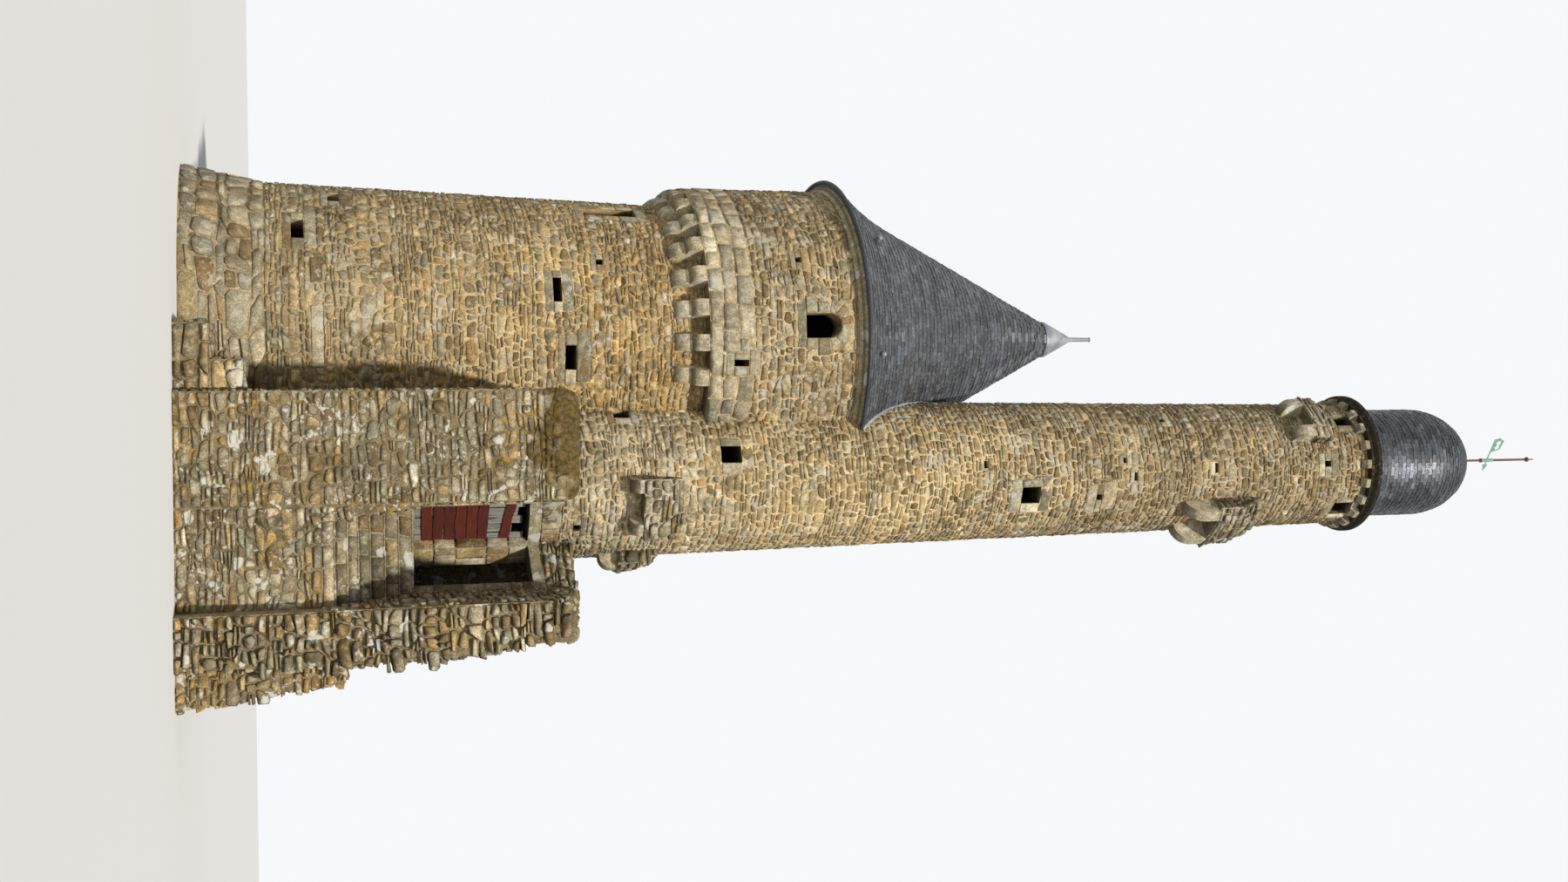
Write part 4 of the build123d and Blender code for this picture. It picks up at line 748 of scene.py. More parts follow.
def make_gallery_stones(settings):
    """Large pale blocks low on the corbelled storey, rubble above, and the round-headed window's
    jambs and arch stones, which stand on a circle round the window's head and turn with it."""
    place, plain = (round_sheet(ROUND_CENTRE, round_radius, GALLERY_REFERENCE, warp, 7)
                    for warp in (0.008, 0.0))
    blocks, holes = surrounds(GALLERY_REFERENCE, round_radius, GALLERY_WINDOWS)
    bearing, sill, width, height = ARCHED_WINDOW
    middle, half = math.radians(bearing) * GALLERY_REFERENCE, width / 2
    left, right, spring = middle - half, middle + half, sill + height - half
    for index, reach in enumerate((0.3, 0.2)):
        low, high = (sill + (spring - sill) * step / 2 for step in (index, index + 1))
        blocks += [(left - reach, left, low, high), (right, right + 0.5 - reach, low, high)]
    blocks.append((left - 0.18, right + 0.16, sill - 0.16, sill))
    turns = np.radians(np.array([-75.0, -45.0, -15.0, 15.0, 45.0, 75.0]))
    ring = half + 0.11
    arch = [(middle + ring * math.sin(t) - 0.065, middle + ring * math.sin(t) + 0.065,
             spring + ring * math.cos(t) - 0.11, spring + ring * math.cos(t) + 0.11) for t in turns]
    holes += [(left - 0.2, right + 0.2, spring, sill + height + 0.2), (left, right, sill, spring)]
    piece = Piece("gallery_stones", 31, settings)
    around = math.pi * GALLERY_REFERENCE
    piece.lay(place, (-around, around), (GALLERY_BOTTOM, GALLERY_PALE_TOP), (0.26, 0.4), GALLERY_SHARES,
              holes + blocks, laying={"spread": 0.2, "split": 0.05, "wild": 0.35}, joint=0.014, proud=0.02,
              bevel=0.12, bulge=0.1, rim=-0.4, drop=inside_watch)
    size = (settings.course_height * 1.15, settings.stone_width * 1.15)
    levels = (GALLERY_PALE_TOP, GALLERY_TOP)
    above = round_walls(piece.rng, GALLERY_REFERENCE, levels, size, holes + blocks)
    piece.add(place, above, GALLERY_SHARES, joint=settings.joint, proud=settings.proud, drop=inside_watch)
    piece.add(plain, blocks, DRESSED_SHARES, proud=0.018, cut=0.1, drop=inside_watch, **DRESSED)
    piece.add(plain, arch, DRESSED_SHARES, proud=0.018, cut=0.1, turn=-turns, **{**DRESSED, "joint": 0.008})
    piece.make("Tower rubble")


def make_stair_stones(settings):
    """Stones of the buttress, the foot of the stair, the low footing and the broken parapet."""
    piece = Piece("stair_block_stones", 41, settings)
    drop = (lambda p: inside_watch(p) | inside_round(p))
    size = (settings.course_height * 1.15, settings.stone_width * 1.3)
    width, depth = BUTTRESS_RIGHT - BUTTRESS_LEFT, -FRONT_FACE
    crown = BUTTRESS_TOP - BUTTRESS_ROUNDING
    walls = (
        ((BUTTRESS_LEFT, FRONT_FACE, 0), EAST, UP, width, (0.0, crown)),
        ((BUTTRESS_LEFT, 0, 0), SOUTH, UP, depth, (0.0, crown)),
        ((BUTTRESS_RIGHT, FRONT_FACE, 0), NORTH, UP, depth, (STAIR_FOOT, crown)),
        ((BUTTRESS_RIGHT, FRONT_FACE, 0), EAST, UP, STAIR_RIGHT - BUTTRESS_RIGHT, (0.0, STAIR_FOOT)),
        ((BUTTRESS_LEFT + 0.2, FRONT_FACE + 0.2, BUTTRESS_TOP), EAST, NORTH, width - 0.4, (0.0, depth - 0.2)),
    )
    piece.lay_walls(walls, 0.012, 50, size, STAIR_SHARES, joint=0.016, proud=0.024, rim=-0.85,
                    drop=lambda p: drop(p) | inside_stair(p, 0.05))
    low_width, high_width = FOOTING_STEP - FOOTING_LEFT, BUTTRESS_LEFT - FOOTING_STEP
    back = ROUND_CENTRE[1]
    depth = back - FOOTING_FRONT
    low, high = (0, FOOTING_LOW_TOP), (FOOTING_LOW_TOP, FOOTING_HIGH_TOP)
    footing = (
        ((FOOTING_LEFT, FOOTING_FRONT, 0), EAST, UP, low_width + high_width, low),
        ((FOOTING_STEP, FOOTING_FRONT, 0), EAST, UP, high_width, high),
        ((FOOTING_LEFT, back, 0), SOUTH, UP, depth, low),
        ((FOOTING_STEP, back, 0), SOUTH, UP, depth, high),
        ((FOOTING_LEFT, FOOTING_FRONT, FOOTING_LOW_TOP), EAST, NORTH, low_width, (0, depth)),
        ((FOOTING_STEP, FOOTING_FRONT, FOOTING_HIGH_TOP), EAST, NORTH, high_width, (0, depth)),
    )
    piece.lay_walls(footing, 0.01, 60, (0.2, 0.3), STAIR_SHARES, joint=0.018, proud=0.045, drop=drop)
    place = flat_sheet((BUTTRESS_RIGHT, FRONT_FACE, STAIR_FOOT), EAST, warp=0.01, seed=70)
    piece.lay(place, (0.0, PARAPET_WIDTH), (0.0, PARAPET_RISE), (0.17, 0.2), STAIR_SHARES,
              drop=lambda p: p[:, 0] > edge_at(PARAPET_EDGE, p[:, 2]) - 0.03)
    piece.lay(torn_side_sheet(PARAPET_EDGE, FRONT_FACE), (0.0, PARAPET_DEPTH),
              (STAIR_FOOT, STAIR_FOOT + PARAPET_RISE), (0.17, 0.22), STAIR_SHARES)
    piece.make("Mossy rubble")


def make_steps(settings):
    """Dressed blocks on the risers and worn slabs on the treads of the stair."""
    piece = Piece("stair_slabs", 45, settings)
    length = STAIR_RIGHT - BUTTRESS_RIGHT
    level = STAIR_FOOT
    look = {"laying": {"spread": 0.15, "split": 0, "wild": 0.2}, "bevel": 0.14, "bulge": 0.1, "rim": -0.8}
    for index, rise in enumerate(STEP_RISES):
        last = index == len(STEP_RISES) - 1
        nose = FRONT_FACE + STEP_SETBACK + index * STEP_TREAD - (LANDING_NOSING if last else 0)
        beside = nose < FRONT_FACE + PARAPET_DEPTH
        look["drop"] = (lambda p, beside=beside: inside_watch(p) | (behind_gate(p) > 0.02)
                        | ((p[:, 0] < edge_at(PARAPET_EDGE, p[:, 2]) - 0.02) & beside))
        piece.lay(flat_sheet((BUTTRESS_RIGHT, nose, level), EAST), (0.0, length), (0.0, rise - 0.005),
                  (rise, 0.42), STEP_SHARES, joint=0.014, proud=0.02, lean=0.2, **look)
        depth = LANDING_DEPTH if last else STEP_TREAD
        level += rise
        piece.lay(flat_sheet((BUTTRESS_RIGHT, nose - 0.012, level), EAST, NORTH), (0.0, length), (0.0, depth),
                  (STEP_TREAD, 0.5), STEP_SHARES, joint=0.012, proud=0.01, lean=0.1, **look)
    piece.make("Block rubble", slot="dressed_stone")


def make_flank_stones(settings):
    """Stones of the torn flanking wall: they stand far out of its broken end and less on its faces."""
    piece = Piece("flank_wall_stones", 51, settings)
    lean_up = np.array((0.0, FLANK_LEAN, FLANK_TOP))
    height = float(np.linalg.norm(lean_up))
    crest_start = FLANK_FRONT + FLANK_LEAN + FLANK_CREST_SETBACK
    crest_slope = (FLANK_CREST - FLANK_TOP) / (FLANK_BACK - crest_start)
    over = (lambda p: p[:, 2] > FLANK_TOP - 0.04 + crest_slope * np.maximum(p[:, 1] - crest_start, 0))
    place = flat_sheet((STAIR_RIGHT, FLANK_FRONT, 0), EAST, lean_up / height, 0.012, 80)
    piece.lay(place, (0.0, 0.94), (0.0, height), (0.14, 0.2), FLANK_SHARES, joint=0.014, proud=0.075,
              bulge=0.4, lean=0.5, rim=-0.8, bevel=0.4,
              drop=lambda p: p[:, 0] > edge_at(FLANK_EDGE, p[:, 2]) + 0.04)
    place = torn_side_sheet(FLANK_EDGE, FLANK_FRONT, FLANK_LEAN, FLANK_TOP)
    piece.lay(place, (0.0, 2.4), (0.0, FLANK_CREST), (0.15, 0.22), FLANK_SHARES, laying={"split": 0.1},
              joint=0.018, proud=0.06, bulge=0.4, rim=-0.6, bevel=0.36,
              drop=lambda p: (p[:, 1] > FLANK_BACK) | over(p) | inside_chamber(p))
    place = flat_sheet((STAIR_RIGHT, FLANK_BACK, 0), SOUTH, warp=0.012, seed=82)
    piece.lay(place, (0.0, 2.45), (2.0, FLANK_CREST), (0.14, 0.25), FLANK_SHARES,
              drop=lambda p: over(p) | (p[:, 1] < FLANK_FRONT + FLANK_LEAN * p[:, 2] / FLANK_TOP + 0.03)
              | (p[:, 2] < stair_height(p) - 0.05) | (behind_gate(p) > 0.02))
    slope = np.array((0.0, 1.0, crest_slope)) / math.hypot(1.0, crest_slope)
    for origin_y, up, length, seed in ((FLANK_FRONT + FLANK_LEAN, NORTH, FLANK_CREST_SETBACK, 83),
                                       (crest_start, slope, (FLANK_BACK - crest_start) / slope[1], 84)):
        place = flat_sheet((STAIR_RIGHT, origin_y, FLANK_TOP), EAST, up, seed=seed)
        piece.lay(place, (0.0, FLANK_EDGE[-1][1] - STAIR_RIGHT), (0.0, length), (0.2, 0.24), FLANK_SHARES,
                  joint=0.02, proud=0.06, bulge=0.5)
    piece.make("Block rubble")


def make_return_stones(settings):
    """Ochre rubble of the low return wall."""
    piece = Piece("return_wall_stones", 55, settings)
    start = FLANK_EDGE[0][1] - 0.04
    thick = RETURN_BACK - RETURN_FRONT
    levels = (0, RETURN_TOP)
    walls = (((start, RETURN_FRONT, 0), EAST, UP, RETURN_LENGTH, levels),
             ((start + RETURN_LENGTH, RETURN_BACK, 0), WEST, UP, RETURN_LENGTH, levels))
    piece.lay_walls(walls, 0.01, 90, (settings.course_height * 1.1, settings.stone_width), OCHRE_SHARES,
                    joint=0.016, proud=0.035, drop=lambda p: (p[:, 0] > edge_at(RETURN_EDGE, p[:, 2]) + 0.03)
                    | (p[:, 0] < edge_at(FLANK_EDGE, p[:, 2]) - 0.02))
    piece.lay(torn_side_sheet(RETURN_EDGE, RETURN_FRONT), (0.0, thick), (0.0, RETURN_TOP), (0.15, 0.24),
              OCHRE_SHARES, joint=0.018, proud=0.05, bulge=0.4)
    piece.lay(flat_sheet((start - 0.1, RETURN_FRONT, RETURN_TOP), EAST, NORTH, seed=92), (0.0, 0.44),
              (0.0, thick), (0.2, 0.24), OCHRE_SHARES, joint=0.018, proud=0.05, bulge=0.4,
              drop=lambda p: p[:, 0] < edge_at(FLANK_EDGE, p[:, 2]))
    piece.make("Block rubble")


def make_chamber_stones(settings):
    """Stones of the slanting wall with the open doorway, of its left reveal and of the chamber."""
    piece = Piece("chamber_stones", 61, settings)
    turn = math.radians(GATE_BEARING)
    along = (math.cos(turn), math.sin(turn), 0)
    place = flat_sheet((*GATE_START, 0), along, warp=0.006, seed=95)
    jambs = [(*sides, low, high) for sides, levels in GATE_JAMBS for low, high in zip(levels, levels[1:])]
    jamb = {"bulge": 0.05, "rim": -0.85}
    piece.add(place, jambs, GATE_SHARES, joint=0.02, proud=0.022,
              drop=lambda p: p[:, 0] > STAIR_RIGHT, **jamb)
    piece.lay(place, (-0.1, GATE_LENGTH), (LINTEL_TOP, CHAMBER_ROOF), (0.12, 0.24), ABOVE_GATE_SHARES,
              joint=0.012, proud=0.03, drop=lambda p: inside_watch(p) | (p[:, 0] > STAIR_RIGHT))
    corner = (GATE_START[0] + GATE_LEFT * along[0], GATE_START[1] + GATE_LEFT * along[1], 0)
    inner = [(*sides, low, high) for low, high, part in REVEAL_ROWS
             for sides in ((0.0, part), (part, GATE_THICKNESS))]
    piece.add(flat_sheet(corner, (-along[1], along[0], 0)), inner, GATE_SHARES, joint=0.016, proud=0.014,
              drop=lambda p: inside_watch(p, -0.01), **jamb)
    deep = CHAMBER_BACK - FLANK_BACK
    walls = (((CHAMBER_RIGHT, FLANK_BACK, 0), NORTH, UP, deep, (0, CHAMBER_ROOF)),
             ((CHAMBER_RIGHT, CHAMBER_BACK, 0), WEST, UP, CHAMBER_RIGHT, (0, CHAMBER_ROOF)),
             ((0, FLANK_BACK, CHAMBER_ROOF), EAST, NORTH, CHAMBER_RIGHT, (0, deep)))
    piece.lay_walls(walls, 0.01, 96, (0.17, 0.3), FLANK_SHARES,
                    drop=lambda p: inside_watch(p, -0.02) | (behind_gate(p) < 0.0))
    piece.make("Block rubble")


def make_box_stones(settings):
    """Rough stones on the torn boxes: a sheet over each one's face and broken top, and one on each end."""
    piece = Piece("torn_box_stones", 65, settings)
    for index, (start, end, seat, height, reach) in enumerate(BOXES):
        root = watch_radius(seat)
        profile = [(seat + height * up, root + reach * out) for up, out in BOX_PROFILE]
        outside = (lambda level, profile=profile: edge_at(profile, level))
        place = round_sheet(WATCH_AXIS, outside, root + reach, 0.006, 100 + index)
        low, high = math.radians(start) * (root + reach), math.radians(end) * (root + reach)
        piece.lay(place, (low, high), (seat, seat + height), (0.15, 0.26), BOX_SHARES, joint=0.016,
                  proud=0.045, bulge=0.4, lean=0.5, rim=-0.6)
        for side, bearing, begins in ((1, end, root - 0.1), (-1, start, root + reach)):
            turn = math.radians(bearing)
            out = np.array((math.sin(turn), -math.cos(turn), 0.0))
            sheet = flat_sheet(out * begins + np.array((0.0, 0.0, seat)), out * side, UP, 0.004, 110 + index)
            piece.lay(sheet, (0.0, reach + 0.1), (0.0, height), (0.15, 0.2), BOX_SHARES, rim=-0.6,
                      drop=lambda p: np.hypot(p[:, 0], p[:, 1]) > outside(p[:, 2]) - 0.02)
    piece.make("Torn rubble")


def turned_sheet(centre, radii, heights):
    """Sheet of a turned roof: across is a bearing in radians, up is the length along the profile from its
    foot, and out is along the profile's normal.  Also gives the length and the radius at a length."""
    radii, heights = np.asarray(radii, float), np.asarray(heights, float)
    along = np.concatenate([[0.0], np.cumsum(np.hypot(np.diff(radii), np.diff(heights)))])
    slope_r, slope_z = np.gradient(radii, along), np.gradient(heights, along)

    def place(bearing, t, p):
        radius = np.maximum(np.interp(t, along, radii) + p * np.interp(t, along, slope_z), 0.0)
        return np.stack([centre[0] + radius * np.sin(bearing), centre[1] - radius * np.cos(bearing),
                         np.interp(t, along, heights) - p * np.interp(t, along, slope_r)], -1)
    return place, along[-1], lambda t: np.interp(t, along, radii)


SLATE_FACES = ((0, 3, 2, 1), (4, 5, 6, 7), (0, 1, 5, 4), (1, 2, 6, 5), (2, 3, 7, 6), (3, 0, 4, 7))


def make_slates(name, sheet, row, width, thick, settings, finish, seed, streak, drop=None):
    """Rows of slates on a turned roof.  Row i starts i rows up the profile and laps the one below; each
    slate is a thin wedge, thick at its tail and thin at its head.  Its brightness is a random share,
    lighter where streak(middles) says."""
    place, length, radius_at = sheet
    rng = np.random.default_rng(seed)
    sides = []
    for index in range(int(length / row)):
        start = index * row
        radius = float(radius_at(start + row / 2))
        count = max(7, int(2 * math.pi * radius / width))
        edges = (np.arange(count + 1) + 0.5 * (index % 2)) / count * 2 * math.pi
        edges = edges + rng.normal(0, 0.06, count + 1) * 2 * math.pi / count
        edges[-1] = edges[0] + 2 * math.pi
        gap = 0.003 / max(radius, 0.1)
        sides.append((edges[:-1] + gap, edges[1:] - gap, np.full(count, start) + rng.normal(0, 0.004, count),
                      np.full(count, min(start + 1.5 * row, length))))
    low_b, high_b, low_t, high_t = (np.concatenate(side) for side in zip(*sides))
    tail = thick * rng.uniform(0.7, 1.3, len(low_b))
    bearing = np.stack([low_b, high_b, high_b, low_b] * 2, 1)
    along = np.stack([low_t, low_t, high_t, high_t] * 2, 1)
    along[:, [0, 1, 4, 5]] += rng.normal(0, 0.003, (len(along), 1)) * np.array([[1, -1, 1, -1]])
    out = tail[:, None] * np.array([0, 0, 0, 0, 1, 1, 0.25, 0.25])
    points = place(bearing, along, out)
    if drop is not None:
        points = points[~drop(points.mean(1))]
    light = np.exp(rng.normal(0, 0.32, len(points))) * (1 + streak(points.mean(1)))
    cool = 1 + rng.normal(0, 0.03, (len(points), 1)) * np.array([[-1.0, 0.0, 1.0]])
    colour = np.array(tuple(settings.slate_colour)[:3])
    tints = np.concatenate([colour * light[:, None] * cool, rng.random((len(points), 1))], 1)
    loops, starts = repeat_faces(SLATE_FACES, len(points), 8)
    make_piece(name, points, loops, starts, finish, np.repeat(tints, 8, 0), smooth=False, slot="slate")


def roof_streaks(middles):
    """Paler upright streaks near the top of the cone: a sum of sines of the bearing, growing upwards."""
    bearing = np.arctan2(middles[:, 0] - ROUND_CENTRE[0], ROUND_CENTRE[1] - middles[:, 1])
    wave = np.sin(9 * bearing + 1.0) + 0.7 * np.sin(17 * bearing + 2.0) + 0.5 * np.sin(31 * bearing)
    high = np.clip((middles[:, 2] - 13.2) / 2.4, 0, 1)
    return 0.8 * high * np.clip(wave, -0.4, 1.4) + 0.1 * np.sin(1.7 * middles[:, 2] + 3 * bearing)


def dome_streaks(middles):
    """Slight bands of brightness up the dome."""
    bearing = np.arctan2(middles[:, 0], -middles[:, 1])
    return 0.12 * np.sin(7 * bearing + 2.2 * middles[:, 2]) + 0.1 * np.sin(13 * bearing)


def make_roofs(settings):
    """Slates of the cone and of the drum and dome."""
    heights = np.concatenate([np.linspace(EAVES + 0.03, ROOF_SPRUNG, 30),
                              np.linspace(ROOF_SPRUNG, SLATED_TOP, 20)[1:]])
    cone = turned_sheet(ROUND_CENTRE, roof_radius(heights), heights)
    turn = np.linspace(0, math.pi / 2 - 0.12, 24)[1:]
    radii = np.r_[DOME_RADIUS + 0.045, DOME_RADIUS, DOME_RADIUS, DOME_RADIUS * np.cos(turn)]
    levels = np.r_[DOME_FOOT, DOME_FOOT + 0.26, DOME_SHOULDER, DOME_SHOULDER + DOME_CROWN * np.sin(turn)]
    dome = turned_sheet(WATCH_AXIS, radii, levels)
    make_slates("roof_slates", cone, settings.slate_row, 0.17, 0.016, settings, "Roof slate", 71,
                roof_streaks, lambda p: inside_watch(p, 0.03))
    make_slates("dome_slates", dome, settings.slate_row * 0.85, 0.15, 0.012, settings, "Dome slate", 72,
                dome_streaks)


def tube_faces(rows, sides):
    """Corner indices and face starts of a closed tube of rings, with both ends closed."""
    row, column = np.meshgrid(np.arange(rows - 1), np.arange(sides), indexing="ij")
    nxt = (column + 1) % sides
    quads = np.stack([row * sides + column, row * sides + nxt, (row + 1) * sides + nxt,
                      (row + 1) * sides + column], -1).reshape(-1)
    first = np.arange(sides)[::-1]
    last = (rows - 1) * sides + np.arange(sides)
    count = (rows - 1) * sides
    starts = np.concatenate([np.arange(count) * 4, [4 * count, 4 * count + sides]])
    return np.concatenate([quads, first, last]), starts


def tube_along(name, path, radius, finish, slot, sides=8):
    """A closed tube carried along a path: at each point a circle is drawn across the path's direction,
    on one axis level with the ground and one at right angles to both; its ends are closed."""
    along = np.gradient(path, axis=0)
    along /= np.linalg.norm(along, axis=1)[:, None]
    level = np.cross(along, (0.0, 0.0, 1.0))
    level /= np.linalg.norm(level, axis=1)[:, None]
    rise = np.cross(level, along)
    turn = (np.arange(sides) / sides * 2 * math.pi)[None, :, None]
    radius = np.broadcast_to(np.asarray(radius, float), (len(path),))[:, None, None]
    points = path[:, None, :] + radius * (np.cos(turn) * level[:, None, :] + np.sin(turn) * rise[:, None, :])
    make_piece(name, points, *tube_faces(len(path), sides), finish, slot=slot)


def valley_path(side, low, high, count=40):
    """Line where the cone meets the watch tower: at each height the two circles cross where the
    distances to both axes equal both radii."""
    height = np.linspace(low, high, count)
    cone, tower = roof_radius(height), watch_radius(height)
    gap = math.hypot(*ROUND_CENTRE)
    along = (gap ** 2 + tower ** 2 - cone ** 2) / (2 * gap)
    across = side * np.sqrt(np.maximum(tower ** 2 - along ** 2, 0))
    x, y = np.array(ROUND_CENTRE) / gap
    return np.stack([x * along - y * across, y * along + x * across, height], 1)


def make_moss_cap():
    """Turf and moss on the buttress: a grid over its top whose edges fall away as the fourth power of
    the distance from the middle, roughened by a sum of sines."""
    cells = 44
    u, v = np.meshgrid(np.linspace(-1, 1, cells), np.linspace(-1, 1, cells), indexing="ij")
    x_half = (BUTTRESS_RIGHT - BUTTRESS_LEFT) / 2 - 0.03
    y_low, y_high = FRONT_FACE + 0.03, TURF_BACK
    x = (BUTTRESS_LEFT + BUTTRESS_RIGHT) / 2 + x_half * u
    y = (y_low + y_high) / 2 + (y_high - y_low) / 2 * v
    edge = np.maximum(np.abs(u) ** 4, np.clip(-v, 0, 1) ** 7)
    rough = (np.sin(7 * x + 3 * y) * np.sin(9 * y + 1) + 0.6 * np.sin(17 * x) * np.sin(15 * y + 2)
             + 0.4 * np.sin(31 * x + 5) * np.sin(27 * y))
    z = BUTTRESS_TOP - 0.02 - 0.16 * edge + 0.035 * rough
    top = np.stack([x, y, z], -1).reshape(-1, 3)
    number = np.arange(cells * cells).reshape(cells, cells)
    quads = np.stack([number[:-1, :-1], number[1:, :-1], number[1:, 1:], number[:-1, 1:]], -1).reshape(-1, 4)
    rim = np.concatenate([number[:, 0], number[-1, 1:], number[-2::-1, -1], number[0, -2:0:-1]])
    nxt, under = np.roll(rim, -1), cells * cells
    skirt = np.stack([rim, rim + under, nxt + under, nxt], -1)
    faces = np.concatenate([quads, quads[:, ::-1] + under, skirt])
    make_piece("buttress_moss", np.concatenate([top, top - np.array([0.0, 0.0, 0.12])]), faces.ravel(),
               np.arange(len(faces)) * 4, "Moss and turf")


def make_boards(name, boards, upright, finish, seed, slot, replaced):
    """Old boards of the door leaf.  Each has a section with four cut corners, carried along its length;
    its edges wander by sums of random sines and its end is torn.  A board is given as (low across,
    high across, face, back, start, end, tilt in degrees), in the leaf's own axes."""
    rng = np.random.default_rng(seed)
    rows, sides = 14, 8
    share = np.linspace(0, 1, rows)[:, None]
    turn = math.radians(DOOR_BEARING)
    points, loops, starts = [], [], []
    for index, (low, high, face, back, start, end, tilt) in enumerate(boards):
        half, thick = (high - low) / 2, (back - face) / 2
        cut = min(half, thick) * 0.3
        x = np.array([half, half, half - cut, cut - half, -half, -half, cut - half, half - cut])
        y = np.array([cut - thick, thick - cut, thick, thick, thick - cut, cut - thick, -thick, -thick])
        phase = rng.uniform(0, 6.28, 4)
        wander = 0.006 * np.sin(5 * share + phase[0]) + 0.004 * np.sin(13 * share + phase[1])
        across = x * (1 - 0.05 * (1 + np.sin(7 * share + phase[2]))) + wander
        depth = (face + back) / 2 + y * (1 - 0.1 * (1 + np.sin(9 * share + phase[3])))
        length = start + (end - start) * share + 0 * x
        if upright:
            length = length + 0.03 * np.sin(3.1 * x / half + phase[0]) * (share > 0.999)
            local_x, local_z = (low + high) / 2 + across, length
        else:
            c, s = math.cos(math.radians(tilt)), math.sin(math.radians(tilt))
            middle = (start + end) / 2
            flat = length - middle
            local_x, local_z = middle + c * flat - s * across, (low + high) / 2 - s * flat - c * across
        turned = (local_x * math.cos(turn) - depth * math.sin(turn),
                  local_x * math.sin(turn) + depth * math.cos(turn), local_z)
        points.append(np.stack(turned, -1).reshape(-1, 3))
        more, begins = tube_faces(rows, sides)
        loops.append(more + index * rows * sides)
        starts.append(begins + index * len(more))
    tint = np.repeat(rng.uniform(0, 1, (len(boards), 4)), rows * sides, 0)
    make_piece(name, *map(np.concatenate, (points, loops, starts)), finish, tint, smooth=False, body=DOOR,
               slot=slot, replaced=replaced)


class Graph:
    """Adds and joins shader nodes in one tree."""

    def __init__(self, tree):
        self.tree = tree

    def add(self, kind, inputs=None, **settings):
        """A node with its settings; an input is a value or another node's socket."""
        node = self.tree.nodes.new(kind)
        for name, value in settings.items():
            setattr(node, name, value)
        for key, value in (inputs or {}).items():
            if isinstance(value, bpy.types.NodeSocket):
                self.tree.links.new(value, node.inputs[key])
            else:
                node.inputs[key].default_value = value
        return node

    def place(self):
        """Object coordinates."""
        return self.add("ShaderNodeTexCoord").outputs["Object"]

    def vector(self, operation, *inputs):
        """The vector that an operation makes of its inputs."""
        return self.add("ShaderNodeVectorMath", dict(enumerate(inputs)), operation=operation).outputs[0]

    def shifted(self, seed, place):
        """A place of its own for each stone or board, by its seed."""
        return self.vector("MULTIPLY_ADD", seed, (13.0, 17.0, 19.0), place)

    def rise(self, vector):
        """The upward part of a vector."""
        return self.add("ShaderNodeSeparateXYZ", {0: vector}).outputs["Z"]

    def noise(self, vector, scale, detail=3.0):
        """Noise value at a scale."""
        inputs = {"Vector": vector, "Scale": scale, "Detail": detail}
        return self.add("ShaderNodeTexNoise", inputs).outputs["Fac"]

    def spread(self, value, low, high, to_low=0.0, to_high=1.0):
        """A value stretched from one range to another and held inside it."""
        return self.add("ShaderNodeMapRange", {"Value": value, "From Min": low, "From Max": high,
                                               "To Min": to_low, "To Max": to_high}).outputs["Result"]

    def patches(self, vector, scale, detail, *ranges):
        """Noise stretched from one range to another."""
        return self.spread(self.noise(vector, scale, detail), *ranges)

    def sum(self, operation, *inputs):
        """The value that an operation makes of its inputs."""
        return self.add("ShaderNodeMath", dict(enumerate(inputs)), operation=operation).outputs[0]

    def times(self, first, second):
        """Product of two values."""
        return self.sum("MULTIPLY", first, second)

    def mix(self, share, first, second, blend="MIX"):
        """Two colours mixed by a share."""
        return self.add("ShaderNodeMix", {0: share, 6: first, 7: second}, data_type="RGBA",
                        blend_type=blend).outputs[2]


def new_group(name, inputs):
    """An empty node group with these inputs, and colour, roughness and height as its outputs.  The kind of
    an input follows from its default value.  Gives the group's graph and the sockets of its inputs."""
    tree = fresh(bpy.data.node_groups, name, "ShaderNodeTree")
    kinds = {1: "NodeSocketFloat", 3: "NodeSocketVector", 4: "NodeSocketColor"}
    for label, value in inputs.items():
        socket = tree.interface.new_socket(name=label, in_out="INPUT", socket_type=kinds[np.size(value)])
        socket.default_value = value
    for label, size in (("Color", 4), ("Roughness", 1), ("Height", 1)):
        tree.interface.new_socket(name=label, in_out="OUTPUT", socket_type=kinds[size])
    graph = Graph(tree)
    return graph, graph.add("NodeGroupInput").outputs


